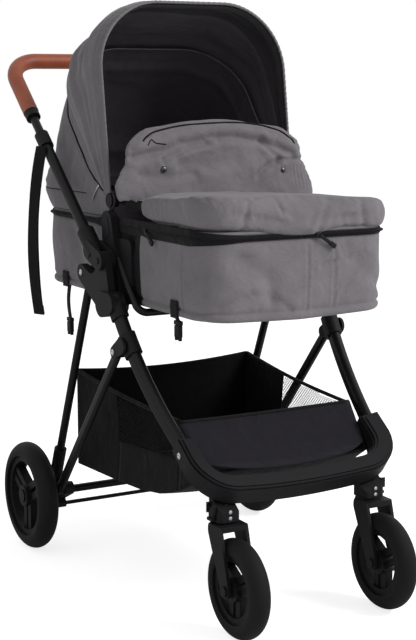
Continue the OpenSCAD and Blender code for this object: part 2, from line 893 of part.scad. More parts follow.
base_t = 5;
hem_h = 16;
hem_in = 2;
tub_belly = 3;
module bassinet_tub() {
    color(grey_cloth)
        difference() {
            union() {
                translate([0, 0, tub_z]) linear_extrude(hem_h) tub_plan(hem_in);
                translate([0, 0, tub_z + hem_h]) linear_extrude(tub_h / 2) tub_plan(0);
                translate([0, 0, tub_z + hem_h + tub_h / 2])
                    linear_extrude(tub_h / 2 - hem_h) tub_plan(tub_belly / 2);
            }
            translate([0, 0, tub_z + base_t]) linear_extrude(tub_h) tub_plan(tub_t);
        }
}

module bassinet_base() {
    color(black)
        translate([0, 0, tub_z + base_t]) linear_extrude(base_t) tub_plan(tub_t + side_clear);
}

crown_rise = 10;
dome_fn = 8 * $fn;
module mattress() {
    lo = tub_z + 2 * base_t;
    dome_r = (pow(tub_w / 2, 2) + pow(crown_rise, 2)) / (2 * crown_rise);
    color(dark_cloth)
        intersection() {
            translate([0, 0, lo]) linear_extrude(mattress_t + crown_rise) tub_plan(tub_t + 2 * side_clear);
            translate([0, 0, lo + mattress_t - dome_r])
                rotate([90, 0, 0]) cylinder(r = dome_r, h = 4 * tub_back, center = true, $fn = dome_fn);
        }
}

zip_h = 10;
zip_proud = 2;
zip_drop = 12;
module zip_band() {
    color(black)
        translate([0, 0, tub_z + tub_h - zip_drop - zip_h / 2])
            linear_extrude(zip_h)
                difference() {
                    tub_plan(-zip_proud + tub_belly / 2);
                    tub_plan(tub_belly / 2 - seat_clear);
                }
}

// Apron: a crowned cover over the foot half, with a swelling edge
apron_back = -10;
apron_t = 16;
apron_edge = 34;
apron_rise = 32;
apron_over = 3;
apron_swell = 7;
apron_lo = tub_z + tub_h + side_clear;
apron_top = tub_z + tub_h + apron_edge + apron_rise;
module apron_dome(drop) {
    dome_r = (pow(tub_w / 2, 2) + pow(apron_rise, 2)) / (2 * apron_rise);
    translate([0, 0, apron_top - drop - dome_r])
        rotate([90, 0, 0]) cylinder(r = dome_r, h = 4 * tub_front, center = true);
}
// Section of the edge: [distance from the corner's middle, height], bowed outwards
module apron_section() {
    h = apron_top - apron_lo + side_clear;
    face_r = (pow(h / 2, 2) + pow(apron_swell, 2)) / (2 * apron_swell);
    mid_r = tub_r + apron_over + apron_swell - face_r;
    translate([0, apron_lo]) square([mid_r, h]);
    intersection() {
        translate([mid_r, apron_lo + h / 2]) circle(face_r);
        translate([0, apron_lo]) square([2 * tub_r, h]);
    }
}
module apron_body() {
    corner_x = tub_w / 2 - tub_r;
    corner_y = -tub_front + tub_r;
    side_len = apron_back - corner_y;
    for (s = [-1, 1]) sided(s) {
        translate([corner_x, corner_y, 0]) rotate(-90) rotate_extrude(angle = 90) apron_section();
        translate([corner_x, apron_back, 0]) rotate([90, 0, 0]) linear_extrude(side_len) apron_section();
    }
    translate([-corner_x, corner_y, 0]) rotate([90, 0, -90]) mirror([0, 0, 1])
        linear_extrude(2 * corner_x) apron_section();
    translate([-corner_x, corner_y, apron_lo])
        cube([2 * corner_x, side_len, apron_top - apron_lo + side_clear]);
}
module apron_hollow() {
    intersection() {
        translate([0, 0, apron_lo - cut]) linear_extrude(apron_top - apron_lo) intersection() {
            tub_plan(apron_t);
            translate([-tub_w, -2 * tub_front]) square([2 * tub_w, 2 * tub_front + apron_back + cut]);
        }
        apron_dome(apron_t);
    }
}
module apron() {
    color(grey_cloth)
        difference() {
            intersection() {
                apron_body();
                apron_dome(0);
            }
            apron_hollow();
            cross_pin([flap_y, flap_z], 2 * bead_r + 2 * run_clear, -bead_half - cut, bead_half + cut);
        }
}

// Wind flap: an upright padded panel along the apron's back edge
flap_y = -44;
flap_t = 9;
flap_h = 104;
flap_lean = 15;
flap_w = 396;
flap_top_w = 336;
flap_corner = 62;
flap_lift = 1;
flap_foot = 9;
bead_r = 3.5;
bead_half = 45;
neck_t = 4;
flap_z = apron_top + flap_lift;
snap_x = 129;
snap_z = 32;
snap_d = 11;
snap_t = 2.5;
module flap_frame() {
    translate([0, flap_y, flap_z]) rotate([90 - flap_lean, 0, 0]) children();
}
// Outline of the flap above its hinge line, narrower towards the top
module flap_outline() {
    top = flap_h - flap_corner;
    for (s = [-1, 1]) translate([s * (flap_top_w / 2 - flap_corner), top]) circle(flap_corner);
    translate([-flap_top_w / 2 + flap_corner, -2 * apron_rise])
        square([flap_top_w - 2 * flap_corner, flap_h + 2 * apron_rise]);
    polygon([
        [-flap_w / 2, -2 * apron_rise],
        [flap_w / 2, -2 * apron_rise],
        [flap_w / 2, 0],
        [flap_top_w / 2, top],
        [-flap_top_w / 2, top],
        [-flap_w / 2, 0]
    ]);
}
module apron_flap() {
    color(grey_cloth) {
        difference() {
            flap_frame() linear_extrude(flap_t, center = true) flap_outline();
            translate([0, 0, flap_foot + flap_lift]) apron_dome(0);
        }
        flap_frame() translate([-bead_half + cut, 0, -neck_t / 2])
            cube([2 * bead_half - 2 * cut, flap_foot + 2 * flap_lift + cut, neck_t]);
        cross_pin([flap_y, flap_z], 2 * bead_r, -bead_half, bead_half);
    }
}
module flap_snaps() {
    color(black) for (s = [-1, 1])
        flap_frame() translate([s * snap_x, snap_z, flap_t / 2]) cylinder(d = snap_d, h = snap_t);
}

// Hanging straps with their buckles under the bassinet
hang_w = 14;
hang_t = 3;
rear_hang_len = 66;
front_hang_len = 8;
buckle_w = 20;
buckle_h = 36;
buckle_t = 9;
rear_hang_y = 240;
front_hang_y = -216;
module hanging_strap(y, len) {
    translate([-tub_w / 2 + buckle_t, y, tub_z]) rotate(90) {
        translate([-hang_w / 2, -hang_t / 2, -len]) cube([hang_w, hang_t, len]);
        translate([-buckle_w / 2, -buckle_t / 2, -len - buckle_h]) cube([buckle_w, buckle_t, buckle_h]);
    }
}
module buckle_straps() {
    color(black) {
        hanging_strap(rear_hang_y, rear_hang_len);
        hanging_strap(front_hang_y, front_hang_len);
    }
}

hood_z = tub_z + tub_h + hood_rise;

// Hood: panels swept round the pivot's axis, with the arch as their section
module arch_plan(grow) {
    w = hood_w / 2 + grow;
    difference() {
        translate([-hood_r - grow, -w]) soft_square([0, 0], [2 * (hood_r + grow), 2 * w], hood_corner + grow);
        translate([-4 * hood_r, -2 * w]) square([4 * hood_r, 4 * w]);
    }
}
module hood_sector(from_a, to_a) {
    translate([0, hood_y, hood_z]) rotate([90, 0, 90]) rotate([0, 0, from_a])
        rotate_extrude(angle = to_a - from_a) children();
}
rim_angle = 82;
front_low_angle = 46;
rear_top_angle = 53;
hinge_r = 13;
hinge_t = 6;
ear_w = 4;
hood_gap = 4;
module arch_shell(grow, t, foot) {
    difference() {
        arch_plan(grow);
        arch_plan(grow - t);
        translate([-cut, -hood_w]) square([foot + cut, 2 * hood_w]);
    }
}

// Cloth between two grids of points, joined along their edges
module cloth_solid(outer, inner) {
    n = len(outer);
    m = len(outer[0]);
    k = n * m;
    polyhedron(
        points = concat([for (row = outer) each row], [for (row = inner) each row]),
        faces = concat(
            [for (i = [0 : n - 2], j = [0 : m - 2]) each [
                [i * m + j, (i + 1) * m + j + 1, (i + 1) * m + j],
                [i * m + j, i * m + j + 1, (i + 1) * m + j + 1],
                [k + i * m + j, k + (i + 1) * m + j, k + (i + 1) * m + j + 1],
                [k + i * m + j, k + (i + 1) * m + j + 1, k + i * m + j + 1]
            ]],
            [for (j = [0 : m - 2]) each [
                [j, k + j, k + j + 1],
                [j, k + j + 1, j + 1],
                [(n - 1) * m + j, k + (n - 1) * m + j + 1, k + (n - 1) * m + j],
                [(n - 1) * m + j, (n - 1) * m + j + 1, k + (n - 1) * m + j + 1]
            ]],
            [for (i = [0 : n - 2]) each [
                [i * m, (i + 1) * m, k + (i + 1) * m],
                [i * m, k + (i + 1) * m, k + i * m],
                [i * m + m - 1, k + (i + 1) * m + m - 1, (i + 1) * m + m - 1],
                [i * m + m - 1, k + i * m + m - 1, k + (i + 1) * m + m - 1]
            ]]
        )
    );
}

// Point on the arch: up the left side, round the corner, over the top and down again
function arch_at(u, foot, grow) =
    let (
        w = hood_w / 2 + grow,
        r = hood_r + grow,
        c = hood_corner + grow,
        up = r - c - foot,
        bend = c * PI / 2,
        over = w - c,
        s = (1 - abs(2 * u - 1)) * (up + bend + over),
        a = min(max((s - up) / bend, 0), 1) * 90,
        x = w - c + c * cos(a) - max(s - up - bend, 0),
        out = r - c + c * sin(a) + min(s - up, 0)
    ) [u < 0.5 ? -x : x, out];
function hood_at(angle, u, foot, grow) =
    let (p = arch_at(u, foot, grow))
    [p[0], hood_y + p[1] * cos(angle), hood_z + p[1] * sin(angle)];

// A panel's cloth swells between its creases, least at its feet
fold_deep = 7;
arch_steps = 36;
fold_steps = 6;
function crease(t, folds, phase) = 1 - abs(sin(180 * (folds * t + phase)));
function hood_grid(from_a, to_a, folds, phase, foot, grow, lift) =
    let (steps = ceil(folds * fold_steps)) [
        for (i = [0 : steps]) [
            for (j = [0 : arch_steps])
                let (t = i / steps, u = j / arch_steps)
                hood_at(
                    from_a + (to_a - from_a) * t, u, foot,
                    grow + fold_deep * sqrt(sin(180 * u)) * (lift - crease(t, folds, phase))
                )
        ]
    ];
front_folds = 2;
rear_folds = 2.5;
rear_phase = 0.5;
module hood_panel_front() {
    foot = hinge_r + side_clear;
    color(grey_cloth)
        cloth_solid(
            hood_grid(front_low_angle, rim_angle, front_folds, 0, foot, cloth_t + hood_gap, 1),
            hood_grid(front_low_angle, rim_angle, front_folds, 0, foot, hood_gap, 1)
        );
}
module hood_panel_rear() {
    foot = hinge_r + seat_clear;
    outer = hood_grid(0, rear_top_angle, rear_folds, rear_phase, foot, 0, 0);
    inner = hood_grid(0, rear_top_angle, rear_folds, rear_phase, foot, -cloth_t, 0);
    drop = [0, 0, hood_rise - seat_clear];
    color(grey_cloth)
        cloth_solid(
            concat([[for (p = outer[0]) p - drop]], outer),
            concat([[for (p = inner[0]) p - drop]], inner)
        );
}

// Bows: flat bands inside the cloth, from hinge to hinge
bow_t = 2.4;
bow_span = 3;
bow_drop = 2;
chord_gap = 0.9;
module hood_bow_front() {
    out = hood_gap - chord_gap;
    color(black) {
        hood_sector(rim_angle - bow_span, rim_angle) arch_shell(out, bow_t, hinge_r + ear_w / 2);
        for (s = [-1, 1]) sided(s)
            side_plate(hood_w / 2 + out - bow_t + seat_clear, bow_t - 2 * seat_clear)
                translate([hood_y, hood_z]) difference() {
                    circle(hinge_r + ear_w);
                    circle(hinge_r + run_clear);
                }
    }
}
module hood_bow_rear() {
    color(black) hood_sector(0, bow_span) arch_shell(-cloth_t - bow_drop, bow_t, hinge_r + seat_clear);
}

module hood_hinges() {
    color(plastic) for (s = [-1, 1]) sided(s)
        translate([hood_w / 2, 0, 0])
            cross_pin([hood_y, hood_z], 2 * hinge_r, -cloth_t - hinge_t, cloth_t + hood_gap);
}

// Basket: an open cloth tray slung between the legs
basket_t = 3;
basket_set_back = 33;
basket_front = swivel_y + basket_set_back;
basket_front_w = 341;
basket_gap = 85;
basket_back = rear_axle_y - basket_gap;
basket_back_h = 193;
basket_side_h = 164;
basket_nose_h = 89;
basket_keel = 155;
basket_keel_rise = 10;
basket_toe = 75;
module basket_side() {
    z = basket_z;
    polygon([
        [basket_front + basket_keel, z + basket_keel_rise],
        [basket_back, z],
        [basket_back, z + basket_back_h],
        [basket_front + basket_toe, z + basket_side_h],
        [basket_front, z + basket_nose_h]
    ]);
}
module basket_hollow() {
    z = basket_z + basket_t;
    polygon([
        [basket_front + basket_keel, z + basket_keel_rise],
        [basket_back - basket_t, z],
        [basket_back - basket_t, z + 2 * basket_back_h],
        [basket_front + basket_toe + 2 * basket_t, z + 2 * basket_back_h],
        [basket_front + basket_toe + 2 * basket_t, basket_z + basket_side_h],
        [basket_front + 2 * basket_t, basket_z + basket_nose_h]
    ]);
}
// Side outline taken across the pram, between walls that spread towards the back
module basket_plan(inset) {
    polygon([
        [-basket_front_w / 2 + inset, basket_front - cut],
        [basket_front_w / 2 - inset, basket_front - cut],
        [basket_w / 2 - inset, basket_back + cut],
        [-basket_w / 2 + inset, basket_back + cut]
    ]);
}
module basket_prism(inset) {
    intersection() {
        side_plate(-basket_w, 2 * basket_w) children();
        translate([0, 0, basket_z - cut]) linear_extrude(3 * basket_back_h) basket_plan(inset);
    }
}
// Window in the front half of each side wall, filled by a net
net_border = 14;
net_len = 220;
net_h = 60;
net_fall = 12;
net_t = 1.2;
net_step = 12;
net_strand = 3;
net_front = basket_front + basket_toe + net_border;
net_top = basket_z + basket_side_h - net_border;
module window(inset) {
    polygon([
        [net_front + inset, net_top - inset],
        [net_front + inset, net_top - net_h + inset],
        [net_front + net_len - inset, net_top - net_h - net_fall + 2 * inset],
        [net_front + net_len - inset, net_top - inset]
    ]);
}
module basket() {
    color(dark_cloth)
        difference() {
            basket_prism(0) basket_side();
            basket_prism(basket_t) basket_hollow();
            side_plate(-basket_w, 2 * basket_w) window(0);
        }
}
module net() {
    difference() {
        window(seat_clear);
        intersection() {
            window(net_strand);
            for (i = [0 : net_len / net_step], j = [0 : net_h / net_step])
                translate([net_front + i * net_step, net_top - (j + 1) * net_step])
                    square(net_step - net_strand);
        }
    }
}
module basket_mesh() {
    color(dark_cloth)
        difference() {
            basket_prism((basket_t - net_t) / 2) net();
            basket_prism((basket_t + net_t) / 2) net();
        }
}

front_leg(-1);  // front_leg_left
front_leg(1);  // front_leg_right
front_bar();
caster_housing(-1);  // caster_housing_left
caster_housing(1);  // caster_housing_right
hub(-1);  // hub_left
hub(1);  // hub_right
strut_collar(-1);  // strut_collar_left
strut_collar(1);  // strut_collar_right
adapter(-1);  // adapter_left
adapter(1);  // adapter_right
frame_bolts();
basket();
basket_mesh();
bassinet_tub();
bassinet_base();
mattress();
zip_band();
apron();
support_hoop();
buckle_straps();
hood_panel_rear();
hood_bow_rear();
hood_hinges();
apron_flap();
flap_snaps();
hood_panel_front();
hood_bow_front();
handle_tube(-1);  // handle_tube_left
handle_tube(1);  // handle_tube_right
knuckle(-1);  // knuckle_left
knuckle(1);  // knuckle_right
collar(-1);  // collar_left
collar(1);  // collar_right
wrist_strap();
handle_bar();
grip_cover();
grip_rings();
adapter_button(-1);  // adapter_button_left
adapter_button(1);  // adapter_button_right
strut(-1);  // strut_left
strut(1);  // strut_right
rear_leg(-1);  // rear_leg_left
rear_leg(1);  // rear_leg_right
rear_bracket(-1);  // rear_bracket_left
rear_bracket(1);  // rear_bracket_right
rear_axle();
brake_bar();
rear_tyre(-1);  // rear_tyre_left
rear_tyre(1);  // rear_tyre_right
rear_rim(-1);  // rear_rim_left
rear_rim(1);  // rear_rim_right
fork(-1);  // fork_left
fork(1);  // fork_right
lock_tab(-1);  // lock_tab_left
lock_tab(1);  // lock_tab_right
front_tyre(-1);  // front_tyre_left
front_tyre(1);  // front_tyre_right
front_rim(-1);  // front_rim_left
front_rim(1);  // front_rim_right
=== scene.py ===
import math

import bmesh
import bpy
import numpy as np
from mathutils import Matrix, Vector, noise
from mathutils.bvhtree import BVHTree


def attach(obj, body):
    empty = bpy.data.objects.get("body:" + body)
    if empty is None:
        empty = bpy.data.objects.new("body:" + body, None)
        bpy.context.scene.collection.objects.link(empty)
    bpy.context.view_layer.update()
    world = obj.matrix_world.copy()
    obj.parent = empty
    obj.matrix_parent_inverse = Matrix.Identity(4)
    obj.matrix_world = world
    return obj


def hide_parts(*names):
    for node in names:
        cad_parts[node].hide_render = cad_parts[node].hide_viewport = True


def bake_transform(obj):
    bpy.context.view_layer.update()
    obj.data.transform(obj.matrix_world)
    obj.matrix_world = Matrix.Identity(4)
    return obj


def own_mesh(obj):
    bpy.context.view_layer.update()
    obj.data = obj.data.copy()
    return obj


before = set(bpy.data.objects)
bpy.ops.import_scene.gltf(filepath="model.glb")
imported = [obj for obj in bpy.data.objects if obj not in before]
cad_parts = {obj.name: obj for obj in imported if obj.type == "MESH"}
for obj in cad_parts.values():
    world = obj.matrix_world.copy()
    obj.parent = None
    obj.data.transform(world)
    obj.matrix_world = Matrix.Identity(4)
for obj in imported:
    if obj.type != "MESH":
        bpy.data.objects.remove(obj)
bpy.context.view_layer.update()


# Studio: a white sweep lit by one large soft lamp over the camera's right shoulder,
# a weaker one from the left and an even white dome.
def srgb(code):
    """Linear colour of an sRGB hex value."""
    parts = [int(code[i:i + 2], 16) / 255 for i in (1, 3, 5)]
    return [c / 12.92 if c <= 0.04045 else ((c + 0.055) / 1.055) ** 2.4 for c in parts] + [1.0]


def add_node(tree, kind, inputs=None, **settings):
    """Adds a node, sets its options, and fills or links its inputs."""
    made = tree.nodes.new(kind)
    for name, value in settings.items():
        setattr(made, name, value)
    for name, value in (inputs or {}).items():
        if isinstance(value, bpy.types.NodeSocket):
            tree.links.new(value, made.inputs[name])
        else:
            made.inputs[name].default_value = value
    return made


def blank_material(name):
    """A material without nodes, and its tree."""
    made = bpy.data.materials.new(name)
    made.use_nodes = True
    made.node_tree.nodes.clear()
    return made, made.node_tree


def put(name, data):
    """An object in the scene."""
    made = bpy.data.objects.new(name, data)
    scene.collection.objects.link(made)
    return made


scene = bpy.context.scene
scene.view_settings.view_transform = "Standard"
image_w, image_h = 416, 640
focal_px = 1462
sensor_mm = 36
camera_place = (-1.362, -2.408, 0.935)
camera_yaw = 29.44
camera_pitch = 9.25
lens = bpy.data.cameras.new("camera")
lens.sensor_width = sensor_mm
lens.lens = focal_px / max(image_w, image_h) * sensor_mm
camera = put("camera", lens)
camera.location = camera_place
camera.rotation_euler = (math.radians(90 - camera_pitch), 0, math.radians(-camera_yaw))
scene.camera = camera

sky = bpy.data.worlds.new("white_dome")
scene.world = sky
sky.use_nodes = True
sky.node_tree.nodes.clear()
dome_fill, dome_seen = 0.36, 1.0
path = add_node(sky.node_tree, "ShaderNodeLightPath")
seen = add_node(sky.node_tree, "ShaderNodeMath",
                {0: path.outputs["Is Camera Ray"], 1: path.outputs["Is Glossy Ray"]}, operation="MAXIMUM")
seen = add_node(sky.node_tree, "ShaderNodeMath",
                {0: seen.outputs[0], 1: path.outputs["Is Transmission Ray"]}, operation="MAXIMUM")
dome_strength = add_node(sky.node_tree, "ShaderNodeMapRange",
                         {"Value": seen.outputs[0], "To Min": dome_fill, "To Max": dome_seen})
dome = add_node(sky.node_tree, "ShaderNodeBackground",
                {"Color": srgb("#ffffff"), "Strength": dome_strength.outputs[0]})
add_node(sky.node_tree, "ShaderNodeOutputWorld", {"Surface": dome.outputs[0]})

lit_spot = Vector((0, 0, 0.55))
for name, place, size, watts in (("key_softbox", (1.9, -2.3, 2.65), 1.6, 82),
                                 ("left_softbox", (-2.6, -0.6, 1.8), 2.0, 6)):
    lamp = bpy.data.lights.new(name, "AREA")
    lamp.size = size
    lamp.energy = watts
    holder = put(name, lamp)
    holder.location = place
    holder.rotation_euler = (lit_spot - Vector(place)).to_track_quat("-Z", "Y").to_euler()

floor_half = 9.0
floor_drop = 0.0006
floor_fill, floor_seen = 0.1, 0.75
floor_mesh = bpy.data.meshes.new("floor")
floor_corners = [(x * floor_half, y * floor_half, -floor_drop) for x, y in ((-1, -1), (1, -1), (1, 1), (-1, 1))]
floor_mesh.from_pydata(floor_corners, [], [(0, 1, 2, 3)])
floor = put("floor", floor_mesh)
paper, tree = blank_material("white_paper_sweep")
matte = add_node(tree, "ShaderNodeBsdfDiffuse", {"Color": srgb("#f6f6f6")})
path = add_node(tree, "ShaderNodeLightPath")
seen = add_node(tree, "ShaderNodeMath",
                {0: path.outputs["Is Camera Ray"], 1: path.outputs["Is Transmission Ray"]}, operation="MAXIMUM")
lift = add_node(tree, "ShaderNodeMapRange", {"Value": seen.outputs[0], "To Min": floor_fill, "To Max": floor_seen})
glow = add_node(tree, "ShaderNodeEmission", {"Color": srgb("#ffffff"), "Strength": lift.outputs[0]})
both = add_node(tree, "ShaderNodeAddShader", {0: matte.outputs[0], 1: glow.outputs[0]})
add_node(tree, "ShaderNodeOutputMaterial", {"Surface": both.outputs[0]})
floor_mesh.materials.append(paper)


# Frame tubes: bent steel and aluminium tube, powder coated black.
# The baked powder leaves a soft sheen with a faint orange-peel ripple.
def coat(nodes, material):
    """Gives CAD nodes a finish."""
    for name in nodes:
        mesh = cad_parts[name].data
        mesh.materials.clear()
        mesh.materials.append(material)


def both_sides(name):
    """Names of a left and right pair."""
    return [name + "_left", name + "_right"]


def solid_finish(name, tones, cloud, gloss, shine, grain=None, rise=None, ends=(0.0, 1.0), **grain_settings):
    """A hard finish: tone and gloss drift with a cloud (scale, detail), and a fine grain may raise it."""
    made, tree = blank_material(name)
    where = add_node(tree, "ShaderNodeTexCoord").outputs["Object"]
    drift = add_node(tree, "ShaderNodeTexNoise", {
        "Vector": where, "Scale": cloud[0], "Detail": cloud[1]}).outputs["Fac"]
    shade = add_node(tree, "ShaderNodeValToRGB", {"Fac": drift})
    for stop, tone, end in zip(shade.color_ramp.elements, tones, ends):
        stop.color = srgb(tone)
        stop.position = end
    rough = add_node(tree, "ShaderNodeMapRange", {"Value": drift, "To Min": gloss[0], "To Max": gloss[1]})
    skin = add_node(tree, "ShaderNodeBsdfPrincipled", {
        "Base Color": shade.outputs[0], "Roughness": rough.outputs[0], **shine})
    if grain:
        relief = add_node(tree, grain[0], {"Vector": where, **grain[1]}, **grain_settings)
        bump = add_node(tree, "ShaderNodeBump", {"Height": relief.outputs[0], "Strength": rise[0], "Distance": rise[1]})
        tree.links.new(bump.outputs[0], skin.inputs["Normal"])
    add_node(tree, "ShaderNodeOutputMaterial", {"Surface": skin.outputs[0]})
    return made


peel_mm = 3.0
powder_coat = solid_finish(
    "black_powder_coat", ("#0e0d0f", "#171619"), cloud=(14.0, 4.0), gloss=(0.3, 0.46),
    grain=("ShaderNodeTexNoise", {"Scale": 1000 / peel_mm, "Detail": 2.0}), rise=(0.12, 0.0004),
    shine={"Specular IOR Level": 0.17})
coat(both_sides("front_leg") + both_sides("rear_leg") + both_sides("strut") + both_sides("handle_tube")
     + ["handle_bar", "support_hoop", "brake_bar", "rear_axle"], powder_coat)


# Moulded joints: front bar, hubs, collars, brackets and forks in glass-filled nylon.
# The mould's spark-eroded grain keeps them duller than the tubes.
grain_mm = 1.6
moulded_nylon = solid_finish(
    "black_moulded_nylon", ("#121113", "#1a191c"), cloud=(9.0, 3.0), gloss=(0.48, 0.62),
    grain=("ShaderNodeTexNoise", {"Scale": 1000 / grain_mm, "Detail": 3.0}), rise=(0.3, 0.0005),
    shine={"Specular IOR Level": 0.15})
coat(["front_bar", "grip_rings", "hood_hinges", "bassinet_base"]
     + [n for piece in ("caster_housing", "hub", "strut_collar", "adapter", "adapter_button", "knuckle", "collar",
                        "rear_bracket", "fork", "lock_tab") for n in both_sides(piece)], moulded_nylon)


# Wheels: moulded spoked rims in the joints' plastic,
# and tyres of foamed EVA with open pores and a dull, slightly dusty tread.
rim_plastic = moulded_nylon.copy()
rim_plastic.name = "satin_rim_abs"
tyre_foam = solid_finish(
    "black_foam_tyre", ("#111112", "#1c1c1e"), cloud=(26.0, 5.0), gloss=(0.58, 0.78),
    grain=("ShaderNodeTexVoronoi", {"Scale": 700.0}), rise=(0.25, 0.0004), shine={"Specular IOR Level": 0.14})
coat(both_sides("rear_rim") + both_sides("front_rim"), rim_plastic)
coat(both_sides("rear_tyre") + both_sides("front_tyre"), tyre_foam)


# Steel of the bolts and the hood's zip pull: zinc plate,
# whose fine spangle breaks up its shine.
zinc_plate = solid_finish(
    "zinc_plated_steel", ("#b9b9bb", "#b9b9bb"), cloud=(240.0, 3.0), gloss=(0.22, 0.42), shine={"Metallic": 1.0})


# Push-bar grip: tan leather wrapped round the bar, with a fine pebbled grain; its tone drifts a little at random.
pebble_mm = 1.5
tan_leather = solid_finish(
    "tan_pebbled_leather", ("#8d4127", "#ab5733"), cloud=(22.0, 6.0), gloss=(0.42, 0.58),
    grain=("ShaderNodeTexVoronoi", {"Scale": 1000 / pebble_mm}), rise=(0.35, 0.0006), shine={"IOR": 1.5},
    ends=(0.3, 0.72), feature="DISTANCE_TO_EDGE")
coat(["grip_cover"], tan_leather)


# Bassinet tub: a padded bag of grey oxford cloth over a board, with a rolled hem and a black lining.
# Seams: two at the foot end and one round the left corner. The side walls have black panels.
def woven_cloth(name, shadow, lit, thread_mm=1.3, sheen=0.2, crease_mm=42):
    """Plain-woven cloth; its threads are drawn coarse enough to show."""
    made, tree = blank_material(name)
    lay = add_node(tree, "ShaderNodeUVMap", uv_map="weave")
    here = add_node(tree, "ShaderNodeTexCoord")
    wave_step = 0.314
    warp, weft = (add_node(tree, "ShaderNodeTexWave", {
        "Vector": lay.outputs[0], "Scale": wave_step * 1000 / thread_mm}, bands_direction=way) for way in "XY")
    grid = add_node(tree, "ShaderNodeMath",
                    {0: warp.outputs["Fac"], 1: weft.outputs["Fac"]}, operation="MULTIPLY")
    slub = add_node(tree, "ShaderNodeMapping", {"Vector": lay.outputs[0], "Scale": (90.0, 900.0, 1.0)})
    yarn = add_node(tree, "ShaderNodeTexNoise", {"Vector": slub.outputs[0], "Scale": 1.0, "Detail": 2.0})
    stain = add_node(tree, "ShaderNodeTexNoise",
                     {"Vector": here.outputs["Object"], "Scale": 16.0, "Detail": 4.0, "Roughness": 0.6})
    tone = add_node(tree, "ShaderNodeMix", {"Factor": 0.45, "A": stain.outputs["Fac"], "B": yarn.outputs["Fac"]})
    ramp = add_node(tree, "ShaderNodeValToRGB", {"Fac": tone.outputs["Result"]})
    for stop, colour, end in zip(ramp.color_ramp.elements, (shadow, lit), (0.3, 0.7)):
        stop.color = srgb(colour)
        stop.position = end
    gaps = add_node(tree, "ShaderNodeMix", {
        "Factor": grid.outputs[0], "A": ramp.outputs[0], "B": srgb(lit)}, data_type="RGBA")
    rough = add_node(tree, "ShaderNodeMapRange", {"Value": yarn.outputs["Fac"], "To Min": 0.78, "To Max": 0.94})
    crumple = add_node(tree, "ShaderNodeTexNoise", {
        "Vector": here.outputs["Object"], "Scale": 1000 / crease_mm, "Detail": 3.0, "Roughness": 0.45,
        "Distortion": 0.9})
    creased = add_node(tree, "ShaderNodeBump", {"Height": crumple.outputs["Fac"], "Strength": 0.55, "Distance": 0.008})
    bump = add_node(tree, "ShaderNodeBump", {
        "Height": grid.outputs[0], "Strength": 0.2, "Distance": 0.0003, "Normal": creased.outputs[0]})
    skin = add_node(tree, "ShaderNodeBsdfPrincipled", {
        "Base Color": gaps.outputs["Result"], "Roughness": rough.outputs[0], "Normal": bump.outputs[0],
        "Specular IOR Level": 0.16, "Sheen Weight": sheen, "Sheen Roughness": 0.45})
    add_node(tree, "ShaderNodeOutputMaterial", {"Surface": skin.outputs[0]})
    return made


def new_piece(name, points, faces, materials, corners=None, kinds=None):
    """A smooth mesh at the origin, with one UV corner for each corner of its faces."""
    mesh = bpy.data.meshes.new(name)
    mesh.from_pydata([tuple(p) for p in points], [], faces)
    for material in materials:
        mesh.materials.append(material)
    if kinds is not None:
        mesh.polygons.foreach_set("material_index", kinds)
    mesh.polygons.foreach_set("use_smooth", [True] * len(mesh.polygons))
    if corners is not None:
        mesh.uv_layers.new(name="weave").data.foreach_set("uv", np.asarray(corners, float).ravel())
    mesh.update()
    return put(name, mesh)


def running(points, axis):
    """Mean length along one direction of a grid of points, from zero."""
    step = np.linalg.norm(np.diff(points, axis=axis), axis=2).mean(axis=1 - axis)
    return np.concatenate([[0.0], np.cumsum(step)])


def ring_skin(name, rings, materials, kind_of=None):
    """A closed skin over a row of closed rings, with both ends shut."""
    rings = np.asarray(rings, float)
    n, m, _ = rings.shape
    closed = np.concatenate([rings, rings[:, :1]], axis=1)
    along, round_ = running(closed, 0), running(closed, 1)
    points = list(rings.reshape(-1, 3)) + [rings[0].mean(axis=0), rings[-1].mean(axis=0)]
    faces, corners, kinds = [], [], []
    for i in range(n - 1):
        for j in range(m):
            k = (j + 1) % m
            faces.append((i * m + j, i * m + k, (i + 1) * m + k, (i + 1) * m + j))
            corners += [(round_[j], along[i]), (round_[j + 1], along[i]),
                        (round_[j + 1], along[i + 1]), (round_[j], along[i + 1])]
            kinds.append(kind_of(i, j) if kind_of else 0)
    for row, hub, turn in ((0, n * m, -1), (n - 1, n * m + 1, 1)):
        for j in range(m):
            a, b = row * m + j, row * m + (j + 1) % m
            faces.append((a, b, hub)[::turn])
            corners += [tuple(points[q][:2]) for q in faces[-1]]
            kinds.append(kind_of(row, j) if kind_of else 0)
    tips = np.array(points)
    volume = 0.0
    for face in faces:
        for a, b in zip(face[1:-1], face[2:]):
            volume += np.dot(tips[face[0]], np.cross(tips[a], tips[b]))
    if volume < 0:
        count = 0
        for index, face in enumerate(faces):
            size = len(face)
            corners[count:count + size] = corners[count:count + size][::-1]
            faces[index] = tuple(reversed(face))
            count += size
    return new_piece(name, points, faces, materials, corners, kinds)


def soft_noise(points, size, seed=0.0):
    """Smooth noise from -1 to 1 at each point, with lumps of about that size."""
    return np.array([noise.noise(Vector((p[0] / size + seed, p[1] / size - seed, p[2] / size + 2 * seed)))
                     for p in points])


def to_line(places, line):
    """Distance from flat places to a line of flat points."""
    line = np.asarray(line, float)
    best = np.full(len(places), 1e9)
    for a, b in zip(line[:-1], line[1:]):
        d = b - a
        t = np.clip(((places - a) @ d) / (d @ d), 0, 1)
        best = np.minimum(best, np.linalg.norm(places - a - t[:, None] * d, axis=1))
    return best


def valley(distance, width):
    """A sewn or pressed-in line: sunk in its middle, slightly raised on both sides."""
    return np.exp(-(distance / width) ** 2) - 0.35 * np.exp(-((distance - 2.2 * width) / (1.2 * width)) ** 2)


